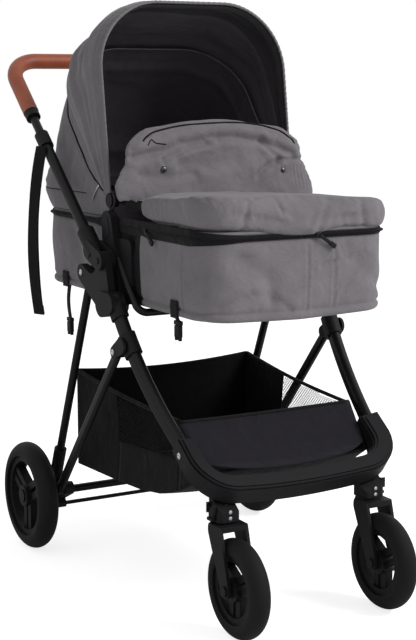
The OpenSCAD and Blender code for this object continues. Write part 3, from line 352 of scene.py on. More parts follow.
def creases(places, lines):
    """Depth at flat places of several pressed-in lines, each with its own depth and width."""
    return sum(deep * valley(to_line(places, line), width) for line, deep, width in lines)


def rounded_loop(half_w, front, back, radius, count):
    """Evenly spaced points and normals round the bassinet's plan, from the foot end's middle."""
    points, normals = [(0, front)], [(0, -1)]
    for cx, cy, first in ((1, front + radius, -90), (1, back - radius, 0),
                          (-1, back - radius, 90), (-1, front + radius, 180)):
        for a in np.radians(np.linspace(first, first + 90, 48)):
            points.append((cx * (half_w - radius) + radius * math.cos(a), cy + radius * math.sin(a)))
            normals.append((math.cos(a), math.sin(a)))
    points, normals = np.array(points + points[:1]), np.array(normals + normals[:1])
    run = np.concatenate([[0], np.cumsum(np.linalg.norm(np.diff(points, axis=0), axis=1))])
    at = np.arange(count) / count * run[-1]
    place = np.stack([np.interp(at, run, points[:, k]) for k in (0, 1)], axis=1)
    facing = np.stack([np.interp(at, run, normals[:, k]) for k in (0, 1)], axis=1)
    return place, facing / np.linalg.norm(facing, axis=1)[:, None], np.where(at > run[-1] / 2, at - run[-1], at)


tub_half_w, tub_front, tub_back, tub_corner = 0.191, -0.324, 0.404, 0.128
foot_corner = 0.058


def squared(points):
    """Draws the foot end's corners out from their board's curve to the cloth's tighter one."""
    points = np.array(points, float)
    aside = np.abs(points[..., 0]) - tub_half_w + tub_corner
    ahead = tub_front + tub_corner - points[..., 1]
    far = np.hypot(aside, ahead)
    inside = (aside > 0) & (ahead > 0) & (far > 1e-6)
    c, s = aside / np.maximum(far, 1e-6), ahead / np.maximum(far, 1e-6)
    flat = tub_corner - foot_corner
    edge = tub_corner / np.maximum(np.maximum(c, s), 1e-6)
    bend = flat * (c + s) + np.sqrt(np.maximum((flat * (c + s)) ** 2 - 2 * flat ** 2 + foot_corner ** 2, 0))
    edge = np.where(np.minimum(c, s) * edge > flat, bend, edge)
    reach = np.where(inside, edge / tub_corner, 1.0)
    wide = np.sign(points[..., 0]) * (tub_half_w - tub_corner + aside * reach)
    long = tub_front + tub_corner - ahead * reach
    points[..., 0] = np.where(inside, wide, points[..., 0])
    points[..., 1] = np.where(inside, long, points[..., 1])
    return points


tub_low, tub_rim = 0.536, 0.688
tub_columns = 620
panel_front, panel_back = -0.089, 0.074
grey_oxford = woven_cloth("grey_oxford_cloth", "#666366", "#827e82")
black_canvas = woven_cloth("black_basket_canvas", "#070608", "#0d0c0e", sheen=0.03)
black_lining = woven_cloth("black_polyester_lining", "#484448", "#565156", sheen=0.08)
loop, facing, run = rounded_loop(tub_half_w, tub_front, tub_back, tub_corner, tub_columns)
outside = [(0.5364, 0.030), (0.5362, 0.0085), (0.5372, 0.0045), (0.5395, 0.0022), (0.543, 0.0014), (0.5465, 0.002),
           (0.549, 0.0042), (0.5505, 0.0052), (0.5525, 0.0042), (0.556, 0.0024)]
outside += [(z, 0.0014 - 0.0016 * math.sin(math.pi * (z - 0.56) / 0.11)) for z in np.linspace(0.56, 0.668, 24)]
outside += [(0.6700, 0.0022), (0.6715, 0.0034), (0.6765, 0.0036), (0.6815, 0.0034), (0.6828, 0.0022),
            (0.6850, 0.0018), (0.6868, 0.0030), (0.6878, 0.0055), (0.6880, 0.0090), (0.6872, 0.0122), (0.6850, 0.0138)]
lining_row = len(outside) - 2
inside = [(z, 0.0142) for z in (0.675, 0.64, 0.60, 0.565, 0.5475)] + [(0.5468, 0.03)]
rings = np.array([np.column_stack([loop - facing * inset, np.full(tub_columns, z)]) for z, inset in outside + inside])
wall = len(outside)
flat = np.stack([np.broadcast_to(run, (wall, tub_columns)), rings[:wall, :, 2]], axis=2).reshape(-1, 2)
place = rings[:wall].reshape(-1, 3)
up = np.clip((flat[:, 1] - tub_low) / (tub_rim - tub_low), 0, 1)
free = np.sin(np.pi * np.clip((up - 0.06) / 0.82, 0, 1)) ** 0.6
push = 0.0042 * soft_noise(place * [1, 1, 0.55], 0.085) + 0.0020 * soft_noise(place * [1, 1, 0.7], 0.034, 7.3)
push *= free
tub_seams = (0.012, 0.0665, -0.217)
for seam in tub_seams:
    line = np.abs(flat[:, 0] - seam)
    pucker = 0.0007 * np.sin(flat[:, 1] * 900 + seam * 3000) * np.exp(-(line / 0.012) ** 2)
    push -= (0.0021 * valley(line, 0.0022) + pucker) * np.clip(free * 1.6, 0, 1)
tub_creases = (
    (((0.040, 0.622), (0.070, 0.629), (0.098, 0.633)), 0.0020, 0.004),
    (((-0.150, 0.560), (-0.100, 0.578), (-0.060, 0.572)), 0.0030, 0.008),
    (((-0.085, 0.553), (-0.045, 0.566), (-0.020, 0.552)), 0.0026, 0.006),
    (((-0.120, 0.640), (-0.075, 0.610), (-0.055, 0.575)), 0.0030, 0.014),
    (((0.090, 0.655), (0.130, 0.605), (0.180, 0.570)), 0.0026, 0.012),
    (((-0.40, 0.660), (-0.44, 0.600), (-0.50, 0.560)), 0.0030, 0.014),
    (((-0.66, 0.650), (-0.62, 0.590), (-0.56, 0.556)), 0.0030, 0.014),
    (((0.42, 0.660), (0.46, 0.600), (0.52, 0.560)), 0.0030, 0.014),
    (((0.68, 0.650), (0.63, 0.590), (0.57, 0.556)), 0.0030, 0.014))
push -= 1.5 * creases(flat, tub_creases) * np.clip(free * 1.4, 0, 1)
rings[:wall, :, :2] += np.broadcast_to(facing, (wall, tub_columns, 2)) * push.reshape(wall, tub_columns, 1)
belly = np.clip(1 - np.abs(run / 0.17), 0, 1) ** 0.7
rings[:wall, :, 2] -= 0.006 * belly * np.clip(1 - up.reshape(wall, tub_columns) * 3.2, 0, 1)
side_panel = (np.abs(loop[:, 0]) > 0.17) & (loop[:, 1] > panel_front) & (loop[:, 1] < panel_back)
tub = ring_skin("bassinet_tub_cloth", squared(rings), [grey_oxford, black_lining, black_canvas],
                lambda i, j: 1 if i >= lining_row else 2 if side_panel[j % tub_columns] else 0)
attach(tub, "chassis")
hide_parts("bassinet_tub")


# Zip round the bassinet: black tape with a nylon coil, closed by two sliders with cord pulls
# that hang at the right of the foot end and at the left corner.
def sheet_solid(name, grid, thick, materials, kind=0, back_kind=0):
    """Cloth of even thickness on a grid of points, shut round its edges."""
    grid = np.asarray(grid, float)
    n, m, _ = grid.shape
    du = np.gradient(grid, axis=0)
    dv = np.gradient(grid, axis=1)
    normal = np.cross(du, dv)
    normal /= np.maximum(np.linalg.norm(normal, axis=2), 1e-12)[..., None]
    points = np.concatenate([(grid + normal * thick / 2).reshape(-1, 3), (grid - normal * thick / 2).reshape(-1, 3)])
    k = n * m
    a, b = running(grid, 0), running(grid, 1)
    faces, corners, kinds = [], [], []

    def face(cells, kind):
        faces.append(tuple(c[0] for c in cells))
        corners.extend((b[c[2]], a[c[1]]) for c in cells)
        kinds.append(kind)

    for i in range(n - 1):
        for j in range(m - 1):
            cell = [((i + p) * m + j + q, i + p, j + q) for p, q in ((0, 0), (1, 0), (1, 1), (0, 1))]
            face(cell, kind)
            face([(c[0] + k, c[1], c[2]) for c in reversed(cell)], back_kind)
    edge = [(i, 0) for i in range(n)] + [(n - 1, j) for j in range(1, m)]
    edge += [(i, m - 1) for i in range(n - 2, -1, -1)] + [(0, j) for j in range(m - 2, 0, -1)]
    for (i, j), (p, q) in zip(edge, edge[1:] + edge[:1]):
        face([(i * m + j, i, j), (i * m + j + k, i, j), (p * m + q + k, p, q), (p * m + q, p, q)], kind)
    return new_piece(name, points, faces, materials, corners, kinds)


def tube(name, path, radius, material, sides=10, loop=False, flat=1.0):
    """A round or flattened cord along a path of points."""
    path = np.asarray(path, float)
    ahead = np.roll(path, -1, axis=0) - np.roll(path, 1, axis=0) if loop else np.gradient(path, axis=0)
    ahead /= np.linalg.norm(ahead, axis=1)[:, None]
    side = np.cross(ahead[0], (0.3, 0.2, 0.93))
    rings = []
    for here, way in zip(path, ahead):
        side = side - way * (side @ way)
        side /= np.linalg.norm(side)
        rise = np.cross(way, side)
        turn = np.linspace(0, 2 * np.pi, sides, endpoint=False)
        rings.append(here + radius * (np.cos(turn)[:, None] * side + flat * np.sin(turn)[:, None] * rise))
    if loop:
        rings.append(rings[0])
    return ring_skin(name, rings, [material])


webbing = woven_cloth("black_nylon_webbing", "#0d0c0e", "#161518", thread_mm=1.8, sheen=0.06)
zip_mid, zip_half = 0.6765, 0.005
tape_inset, tape_columns = 0.0018, 400
tape_loop, tape_facing, tape_run = rounded_loop(
    tub_half_w - tape_inset, tub_front + tape_inset, tub_back - tape_inset, tub_corner - tape_inset, tape_columns)
# Along the left of the foot end, round its left corner and down the left side the black tape is drawn up to 18 mm
# taller: real tape, with painted shadow of the gap under the apron's roll.
shadow_gap_widening = np.clip((-0.11 - tape_run) / 0.09, 0, 1) * np.clip((tape_run + 0.56) / 0.06, 0, 1)
tape_rings = []
for z, out in ((-1.0, 0.0), (-1.0, 0.0012), (-0.45, 0.0016), (-0.35, 0.0030), (0, 0.0036), (0.35, 0.0030),
               (0.45, 0.0016), (1.0, 0.0012), (1.0, 0.0)):
    tape_rings.append(np.column_stack([tape_loop + tape_facing * out, zip_mid + z * (zip_half + 0.009 * shadow_gap_widening)]))
tape_rings = squared(tape_rings)
tape = sheet_solid("zip_tape_and_shadow_gap", np.concatenate([tape_rings, tape_rings[:, :1]], axis=1), 0.0006, [webbing])
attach(tape, "chassis")
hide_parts("zip_band")


def keep_result(piece):
    """Keeps what a piece's modifiers make as its plain mesh."""
    made = bpy.data.meshes.new_from_object(piece.evaluated_get(bpy.context.evaluated_depsgraph_get()))
    piece.modifiers.clear()
    piece.data = made
    made.name = piece.name


def copy_tree(name, source, measure, result):
    """A node tree from one geometry and one measure to another geometry, its inputs and the measure's socket."""
    group = bpy.data.node_groups.new(name, "GeometryNodeTree")
    group.interface.new_socket(source, in_out="INPUT", socket_type="NodeSocketGeometry")
    measure_in = group.interface.new_socket(measure, in_out="INPUT", socket_type="NodeSocketFloat")
    group.interface.new_socket(result, in_out="OUTPUT", socket_type="NodeSocketGeometry")
    return group, add_node(group, "NodeGroupInput"), measure_in


def grow_copies(piece, group, laid, material, measure_in, value):
    """Ends a tree with its copies made real in one material, runs it on a piece and keeps the result."""
    real = add_node(group, "GeometryNodeRealizeInstances", {0: laid.outputs[0]})
    named = add_node(group, "GeometryNodeSetMaterial", {0: real.outputs[0], "Material": material})
    add_node(group, "NodeGroupOutput", {0: named.outputs[0]})
    modifier = piece.modifiers.new(group.name, "NODES")
    modifier.node_group = group
    modifier[measure_in.identifier] = value
    keep_result(piece)


coil_loop = bpy.data.meshes.new("zip_coil_path")
coil_path = squared(np.column_stack([tape_loop + tape_facing * 0.0040, np.full(tape_columns, zip_mid)]))
coil_loop.from_pydata(
    [tuple(p) for p in coil_path], [(i, (i + 1) % tape_columns) for i in range(tape_columns)], [])
coil = put("zip_coil", coil_loop)
tooth_step = 0.0032
teeth, given, step_in = copy_tree("zip_teeth", "Path", "Tooth step", "Teeth")
line = add_node(teeth, "GeometryNodeMeshToCurve", {0: given.outputs["Path"]})
spots = add_node(teeth, "GeometryNodeCurveToPoints", {
    "Curve": line.outputs[0], "Length": given.outputs["Tooth step"]}, mode="LENGTH")
tooth = add_node(teeth, "GeometryNodeMeshCube", {"Size": (0.0042, 0.0022, 0.0017)})
laid = add_node(teeth, "GeometryNodeInstanceOnPoints", {
    "Points": spots.outputs["Points"], "Instance": tooth.outputs["Mesh"], "Rotation": spots.outputs["Rotation"]})
grow_copies(coil, teeth, laid, moulded_nylon, step_in, tooth_step)
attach(coil, "chassis")


def block(name, centre, half, turn, material, soften=0.001):
    """A bevelled block turned to a frame of three directions."""
    bm = bmesh.new()
    bmesh.ops.create_cube(bm, size=2.0)
    bmesh.ops.scale(bm, vec=half, verts=bm.verts)
    bmesh.ops.bevel(bm, geom=list(bm.edges), offset=soften, segments=2, affect="EDGES", profile=0.6)
    mesh = bpy.data.meshes.new(name)
    bm.to_mesh(mesh)
    bm.free()
    spin = np.array(turn, float).T
    where = np.array([v.co for v in mesh.vertices])
    mesh.vertices.foreach_set("co", (where @ spin.T + np.asarray(centre)).ravel())
    mesh.materials.append(material)
    mesh.polygons.foreach_set("use_smooth", [True] * len(mesh.polygons))
    mesh.update()
    return put(name, mesh)


def joined(name, pieces):
    """Several meshes made one piece."""
    bm = bmesh.new()
    materials = []
    for piece in pieces:
        first = len(bm.faces)
        bm.from_mesh(piece.data)
        bm.faces.ensure_lookup_table()
        for face in bm.faces[first:]:
            material = piece.data.materials[face.material_index]
            if material not in materials:
                materials.append(material)
            face.material_index = materials.index(material)
    mesh = bpy.data.meshes.new(name)
    bm.to_mesh(mesh)
    bm.free()
    for material in materials:
        mesh.materials.append(material)
    for piece in pieces:
        bpy.data.objects.remove(piece)
    return put(name, mesh)


for side, spot in (("right", 0.031), ("left", -0.345)):
    near = int(np.argmin(np.abs(tape_run - spot)))
    out = np.array([*tape_facing[near], 0.0])
    across = np.array([-out[1], out[0], 0.0])
    rise = np.array([0.0, 0.0, 1.0])
    seat = coil_path[near] + out * 0.0012
    slider = block("slider", seat, (0.0055, 0.004, 0.002), (across, rise, out), moulded_nylon)
    fall = -0.55 * rise + 0.83 * across
    fall /= np.linalg.norm(fall)
    level = np.cross(out, fall)
    tag = block("tag", seat + out * 0.003 + fall * 0.018, (0.016, 0.0032, 0.0013), (fall, level, out), moulded_nylon)
    tip = block("tip", seat + out * 0.003 + fall * 0.034, (0.006, 0.0042, 0.0022), (fall, level, out), moulded_nylon)
    pull = joined("zip_pull_" + side, [slider, tag, tip])
    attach(pull, "chassis")


# Mattress: a foam pad in a black woven cover, laid on the board in the tub
# and quilted across in four lines.
def set_points(piece, points):
    """Moves a piece's points to new places."""
    piece.data.vertices.foreach_set("co", points.ravel())
    piece.data.update()


def inflate(name, node, shrink, voxel, pressure, cap, material):
    """A padded copy of a CAD solid, blown up as cloth and then made finer."""
    bm = bmesh.new()
    bm.from_mesh(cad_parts[node].data)
    bmesh.ops.remove_doubles(bm, verts=bm.verts, dist=1e-5)
    bm.normal_update()
    for vertex in bm.verts:
        vertex.co -= vertex.normal * shrink
    mesh = bpy.data.meshes.new(name)
    bm.to_mesh(mesh)
    bm.free()
    pad = put(name, mesh)

    remesh = pad.modifiers.new("remesh", "REMESH")
    remesh.mode = "VOXEL"
    remesh.voxel_size = voxel
    keep_result(pad)
    start = np.array([v.co for v in pad.data.vertices])
    settled = 20
    cloth = pad.modifiers.new("cloth", "CLOTH")
    cloth.settings.quality = 6
    cloth.settings.use_pressure = True
    cloth.settings.uniform_pressure_force = pressure
    cloth.settings.effector_weights.gravity = 0
    cloth.point_cache.frame_start = 1
    cloth.point_cache.frame_end = settled
    for step in range(1, settled + 1):
        scene.frame_set(step)
    graph = bpy.context.evaluated_depsgraph_get()
    moved = np.array([v.co for v in pad.evaluated_get(graph).data.vertices]) - start
    pad.modifiers.clear()
    scene.frame_set(1)
    far = np.maximum(np.linalg.norm(moved, axis=1), 1e-9)
    set_points(pad, start + moved * np.minimum(1, cap / far)[:, None])
    finer = pad.modifiers.new("finer", "SUBSURF")
    finer.levels = finer.render_levels = 1
    keep_result(pad)
    pad.data.materials.clear()
    pad.data.materials.append(material)
    return pad


def lay_weave(pad):
    """UVs in metres on a pad, laid from the side that each face looks to."""
    mesh = pad.data
    mesh.polygons.foreach_set("use_smooth", [True] * len(mesh.polygons))
    while mesh.uv_layers:
        mesh.uv_layers.remove(mesh.uv_layers[0])
    layer = mesh.uv_layers.new(name="weave")
    count = len(mesh.polygons)
    normal = np.empty(count * 3)
    mesh.polygons.foreach_get("normal", normal)
    looks = np.abs(normal.reshape(-1, 3)).argmax(axis=1)
    total = np.empty(count, int)
    mesh.polygons.foreach_get("loop_total", total)
    ends = np.empty(len(mesh.loops), int)
    mesh.loops.foreach_get("vertex_index", ends)
    spots = np.array([v.co for v in mesh.vertices])[ends]
    looks = np.repeat(looks, total)
    level = np.where((looks == 1)[:, None], spots[:, [0, 2]], spots[:, [0, 1]])
    flat = np.where((looks == 0)[:, None], spots[:, [1, 2]], level)
    layer.data.foreach_set("uv", flat.ravel())
    mesh.update()


def pad_points(pad):
    """A pad's points and the way each one faces."""
    return np.array([v.co for v in pad.data.vertices]), np.array([v.normal for v in pad.data.vertices])


mattress = inflate("mattress_cover", "mattress", 0.0015, 0.006, 4.0, 0.005, black_lining)
spots, normals = pad_points(mattress)
upper = np.clip(normals[:, 2], 0, 1)
quilt = sum(valley(np.abs(spots[:, 1] - y), 0.004) for y in (-0.2, -0.06, 0.08, 0.22))
set_points(mattress, spots - normals * (0.003 * quilt * upper)[:, None])
lay_weave(mattress)
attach(mattress, "chassis")
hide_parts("mattress")


# Apron: a padded cover zipped over the foot half, with a plump edge that rolls over the zip.
# It sags in the middle and at the right, and is gathered towards its black ends at both sides.
apron = inflate("apron_cover", "apron", 0.002, 0.005, 4.0, 0.006, grey_oxford)
set_points(apron, squared(pad_points(apron)[0]))
spots, normals = pad_points(apron)
apron_hem, crest_bow = 0.690, 0.586
outer = np.clip((-normals[:, 1] * (spots[:, 1] < -0.19) + np.abs(normals[:, 0])), 0, 1)
front = np.clip((-spots[:, 1] - 0.20) / 0.10, 0, 1)
# The lower edge hangs in the middle and at the right.
drape = np.exp(-((spots[:, 0] + 0.01) / 0.085) ** 2) + np.interp(spots[:, 0], (0.06, 0.12, 0.19), (0, 0.5, 1.0))
drape *= front * np.clip(1 - (spots[:, 2] - apron_hem) / 0.05, 0, 1)
moves = np.zeros_like(spots)
moves[:, 2] -= 0.015 * drape
moves[:, 1] -= 0.004 * drape
# The arched crest is flattened, tilted down to the right and lowered towards the flap.
inner = np.clip((spots[:, 1] + 0.300) / 0.256, 0, 1)
tilt = np.interp(spots[:, 0], (-0.19, 0.0, 0.10, 0.19), (0.004, 0.003, -0.003, -0.015))
arched = crest_bow - np.sqrt(crest_bow ** 2 - np.minimum(np.abs(spots[:, 0]), tub_half_w) ** 2)
crown = np.clip((spots[:, 2] - 0.696) / np.maximum(0.047 - arched, 0.012), 0, 1)
moves[:, 2] += crown * (arched - 0.017 + tilt - 0.010 * inner)
top = np.clip(normals[:, 2], 0, 1)
moves += normals * (0.0018 * soft_noise(spots, 0.09, 3.1) + 0.0010 * soft_noise(spots, 0.03, 9.7))[:, None]
roll = np.column_stack([spots[:, 0], spots[:, 2]])
apron_creases = (
    (((-0.140, 0.716), (-0.02, 0.711), (0.10, 0.714), (0.16, 0.718)), 0.0028, 0.010),
    (((-0.05, 0.742), (-0.045, 0.728)), 0.0028, 0.004),
    (((0.03, 0.700), (0.045, 0.735)), 0.0022, 0.006),
    (((-0.118, 0.700), (-0.112, 0.740)), 0.0026, 0.005),
    (((0.125, 0.698), (0.118, 0.735)), 0.0022, 0.006))
moves -= normals * (creases(roll, apron_creases) * front * (1 - 0.7 * top))[:, None]
gather = np.clip(1 - np.abs(spots[:, 1] + 0.150) / 0.06, 0, 1)
gather = gather * np.clip((np.abs(spots[:, 0]) - 0.15) / 0.03, 0, 1)
moves += normals * (0.0022 * soft_noise(spots * [1, 2.6, 0.5], 0.022, 5.5) * gather * outer)[:, None]
# The roll's ends turn in and are rounded off.
aside = np.clip((np.abs(spots[:, 0]) - 0.14) / 0.03, 0, 1)
roll_end = np.clip((spots[:, 1] + 0.097) / 0.012, 0, 1) * aside
moves[:, 0] -= np.sign(spots[:, 0]) * 0.012 * roll_end
rounding = np.clip((spots[:, 1] + 0.122) / 0.030, 0, 1) ** 2 * aside
moves[:, 2] += rounding * (0.008 - 0.018 * crown)
hem = np.abs(spots[:, 2] - 0.6935 + 0.015 * drape)
moves -= normals * (0.0014 * valley(hem, 0.002) * outer)[:, None]
set_points(apron, spots + moves)
lay_weave(apron)
apron.data.materials.append(black_canvas)
for cell in apron.data.polygons:
    if cell.center[1] > panel_front and abs(cell.center[0]) > 0.150 and abs(cell.normal[0]) > 0.35:
        cell.material_index = 1
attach(apron, "chassis")
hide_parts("apron")


# Wind flap: a padded panel that stands on the apron's back edge, edged with a grey band and black piping.
# Two black snaps hold it, and the cloth creases towards them.
flap_foot, flap_lean = np.array((0.0, -0.044, 0.755)), math.radians(15)
flap_up = np.array((0.0, math.sin(flap_lean), math.cos(flap_lean)))
flap_face = np.array((0.0, -math.cos(flap_lean), math.sin(flap_lean)))
flap = inflate("wind_flap_cloth", "apron_flap", 0.0012, 0.0045, 4.0, 0.006, grey_oxford)
spots, normals = pad_points(flap)
local = np.column_stack([spots[:, 0], (spots - flap_foot) @ flap_up])
ahead = np.clip(normals @ flap_face, 0, 1)
behind = np.clip(-normals @ flap_face, 0, 1)
# The outline is widened to both sides, raised in the middle and let down at the foot.
foot_line = np.interp(np.abs(local[:, 0]), (0, 0.045, 0.115, 0.166, 0.198), (0.009, 0.003, -0.002, -0.015, -0.026))
rises = (-0.03, 0.0, 0.042, 0.066, 0.090, 0.104)
wider = np.where(local[:, 0] < 0,
                 np.interp(local[:, 1], rises, (0.024, 0.026, 0.030, 0.030, 0.029, 0.018)),
                 np.interp(local[:, 1], rises, (0.006, 0.008, 0.021, 0.025, 0.020, 0.012)))
spots[:, 0] += wider * local[:, 0] / 0.165
longer = 0.020 * np.exp(-(local[:, 0] / 0.110) ** 2) * np.clip(local[:, 1] / 0.09, 0, 1)
lowered = np.interp(local[:, 0], (-0.198, -0.166, -0.145, -0.125, 0.150, 0.198), (0.06, 0.22, 0.5, 1, 1, 0.05))
longer -= 0.075 * np.clip(1 - (local[:, 1] - foot_line) / 0.034, 0, 1) * lowered
spots += longer[:, None] * flap_up
set_points(flap, spots)
spots, normals = pad_points(flap)
local = np.column_stack([spots[:, 0], (spots - flap_foot) @ flap_up])
piping_line = [(-0.157, 0.074), (-0.150, 0.081), (-0.132, 0.091), (-0.095, 0.099), (-0.053, 0.104), (0.018, 0.107),
               (0.062, 0.106), (0.091, 0.103), (0.134, 0.090), (0.161, 0.075), (0.168, 0.064)]
# Soft lumps come first, then the piping's groove, the creases, the snaps' dimples and the pleats.
moves = normals * (0.0022 * soft_noise(spots, 0.06, 5.2) + 0.001 * soft_noise(spots, 0.024, 1.7))[:, None]
moves -= normals * (0.0020 * valley(to_line(local, piping_line), 0.0025) * (ahead + behind))[:, None]
snap_spots = ((-0.123, 0.022), (0.133, 0.014))
crease_depth = 2.2
above_foot = np.clip((local[:, 1] + 0.006) / 0.014, 0, 1)
flap_creases = (
    (((-0.180, 0.046), (-0.142, 0.052), (-0.111, 0.056), (-0.078, 0.069), (-0.023, 0.078), (0.041, 0.079),
      (0.099, 0.068), (0.158, 0.044)), 0.0030, 0.007),
    (((-0.120, 0.038), (-0.090, 0.050), (-0.064, 0.060), (-0.026, 0.068)), 0.0032, 0.006),
    (((0.126, 0.034), (0.112, 0.048), (0.100, 0.062), (0.092, 0.072)), 0.0020, 0.006),
    (((0.068, -0.012), (0.078, 0.006), (0.096, 0.020), (0.124, 0.030)), 0.0034, 0.005),
    (((0.134, 0.032), (0.158, 0.034), (0.178, 0.032)), 0.0026, 0.004),
    (((-0.170, 0.010), (-0.120, 0.004), (-0.060, 0.010)), 0.0020, 0.008),
    (((-0.090, 0.030), (-0.030, 0.026), (0.030, 0.034)), 0.0016, 0.010))
moves -= normals * (crease_depth * creases(local, flap_creases) * ahead * above_foot)[:, None]
for spot in snap_spots:
    moves -= normals * (0.0032 * np.exp(-(np.linalg.norm(local - spot, axis=1) / 0.008) ** 2) * ahead)[:, None]
pleat = np.clip((local[:, 0] - 0.14) / 0.03, 0, 1) * np.clip(1 - np.abs(local[:, 1]) / 0.035, 0, 1)
moves += normals * (0.0014 * np.sin(local[:, 0] * 760) * pleat * ahead)[:, None]
set_points(flap, spots + moves)
lay_weave(flap)
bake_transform(flap)
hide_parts("apron_flap")


def skin_of(piece):
    """Search tree over a piece's faces."""
    return BVHTree.FromPolygons([tuple(v.co) for v in piece.data.vertices],
                                [tuple(p.vertices) for p in piece.data.polygons])


def smooth_line(points, count):
    """Evenly spaced points on a rounded line through the given ones."""
    points = np.asarray(points, float)
    padded = np.concatenate([2 * points[:1] - points[1:2], points, 2 * points[-1:] - points[-2:-1]])
    fine = []
    for i in range(1, len(padded) - 2):
        a, b, c, d = padded[i - 1:i + 3]
        for t in np.linspace(0, 1, 16, endpoint=False):
            fine.append(0.5 * (2 * b + (c - a) * t + (2 * a - 5 * b + 4 * c - d) * t ** 2
                               + (3 * b - a - 3 * c + d) * t ** 3))
    fine = np.array(fine + [points[-1]])
    run = np.concatenate([[0], np.cumsum(np.linalg.norm(np.diff(fine, axis=0), axis=1))])
    at = np.linspace(0, run[-1], count)
    return np.stack([np.interp(at, run, fine[:, k]) for k in range(fine.shape[1])], axis=1)


flap_skin = skin_of(flap)


def on_flap(line, lift):
    """Points of a line drawn on the flap's face, set on its cloth."""
    found = []
    for x, rise in line:
        far = flap_foot + np.array((x, 0, 0)) + flap_up * rise + flap_face * 0.05
        hit, *_ = flap_skin.ray_cast(Vector(far), Vector(-flap_face))
        if hit is not None:
            found.append(np.array(hit) + flap_face * lift)
    return found


piping = tube("flap_piping", on_flap(smooth_line(piping_line, 150), 0.0004), 0.0017, webbing)
pocket_line = ((-0.150, 0.066), (-0.141, 0.076), (-0.133, 0.070), (-0.112, 0.067))
pocket = tube("flap_pocket_edge", on_flap(smooth_line(pocket_line, 40), 0.0002), 0.0011, webbing)
for trim in (piping, pocket):
    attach(trim, "wind_flap")


# Snaps: two black-lacquered press studs,
# each a domed cap with a rolled edge on a thin ring.
def turned(name, outline, centre, axis, material, sides=32):
    """A lathe-turned piece: (radius, height) pairs round an axis."""
    axis = np.asarray(axis, float) / np.linalg.norm(axis)
    side = np.cross(axis, (0.21, 0.37, 0.9))
    side /= np.linalg.norm(side)
    other = np.cross(axis, side)
    turn = np.linspace(0, 2 * np.pi, sides, endpoint=False)
    rings = [np.asarray(centre) + axis * h + r * (np.cos(turn)[:, None] * side + np.sin(turn)[:, None] * other)
             for r, h in outline]
    return ring_skin(name, rings, [material])


stud_lacquer = solid_finish(
    "black_lacquered_brass", ("#161518", "#161518"), cloud=(320.0, 3.0), gloss=(0.18, 0.34),
    shine={"IOR": 1.5, "Coat Weight": 0.4})
stud_outline = ((0.0001, -0.001), (0.0072, -0.0008), (0.0074, 0.0004), (0.0064, 0.0012), (0.0058, 0.0008),
                (0.0056, 0.0022), (0.0046, 0.0034), (0.0026, 0.0042), (0.0001, 0.0044))
snaps = joined("flap_press_studs", [
    turned("stud", stud_outline, on_flap([spot], 0.0)[0], flap_face, stud_lacquer) for spot in snap_spots])
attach(snaps, "wind_flap")
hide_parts("flap_snaps")


# Hood, rear half: grey cloth zipped to the bassinet's rim and stretched back from the hinges, slack low down.
# It has a level seam, black piping that climbs from the hinges, a zip pull at the left and a black lining.
hood_pivot = np.array((0.0, 0.025, 0.720))
arch_half_w, arch_reach, arch_corner = 0.192, 0.360, 0.122
arch_steps = 260


def arch_point(share, foot, grow):
    """Half width and reach on the arch: up the left side, over the top and down the right."""
    half, reach, corner = arch_half_w + grow, arch_reach + grow, arch_corner + grow
    rise, bend, level = reach - corner - foot, corner * math.pi / 2, half - corner
    gone = (1 - np.abs(2 * share - 1)) * (rise + bend + level)
    turn = np.clip((gone - rise) / bend, 0, 1) * math.pi / 2
    x = half - corner + corner * np.cos(turn) - np.maximum(gone - rise - bend, 0)
    out = reach - corner + corner * np.sin(turn) + np.minimum(gone - rise, 0)
    return np.where(share < 0.5, -x, x), out


def hood_point(angle, share, foot, grow, slide=0.0):
    """A point of the hood at an angle above level, moved along the cloth by slide."""
    x, out = arch_point(share, foot, grow)
    a = np.radians(angle)
    return np.stack([x, hood_pivot[1] + out * np.cos(a) - slide * np.sin(a),
                     hood_pivot[2] + out * np.sin(a) + slide * np.cos(a)], axis=-1)


def piping_angle(share):
    """The piping leaves the hinges low and climbs towards the top."""
    up = np.clip(2 * (0.5 - np.abs(share - 0.5)), 0, 1)
    return 16 + 27 * np.clip(up / 0.62, 0, 1) ** 0.8


hood_foot = 0.0134
cloth_thick = 0.003
skirt_drop, rear_top, front_edge = -0.0315, 52.5, 53
share = np.linspace(0, 1, arch_steps)
mid_share = np.sqrt(np.sin(np.pi * share))
rear_rows = [(0, z) for z in np.linspace(skirt_drop, -0.002, 8)] + [(a, 0) for a in np.linspace(0, rear_top, 84)]


def rear_swell(angle, drop):
    """Height of the cloth over its bows: sunk at the seam and piping, full between them."""
    line = piping_angle(share)
    sunk = 0.0045 * np.exp(-((angle - line) / 2.6) ** 2) + 0.0060 * np.exp(-((angle - front_edge) / 4.0) ** 2)
    sunk += 0.0022 * math.exp(-((angle - 2.2) / 1.2) ** 2) if drop == 0 else 0
    lower = 0.0020 * np.sin(np.pi * np.clip(angle / line, 0, 1))
    if drop:
        slack = np.interp(drop, (skirt_drop, -0.02, 0), (0.006, 0.013, 0.021))
    else:
        slack = np.interp(angle, (0, 4, 8, 11.5, 15), (0.021, 0.023, 0.015, 0.003, 0))
    lower = lower + slack * np.interp(arch_point(share, hood_foot, 0)[1], (0.10, 0.20, 0.29), (0, 0.45, 1))
    upper = 0.0035 * np.sin(np.pi * np.clip((angle - line) / (front_edge - line), 0, 1))
    return mid_share * (lower + upper - sunk)


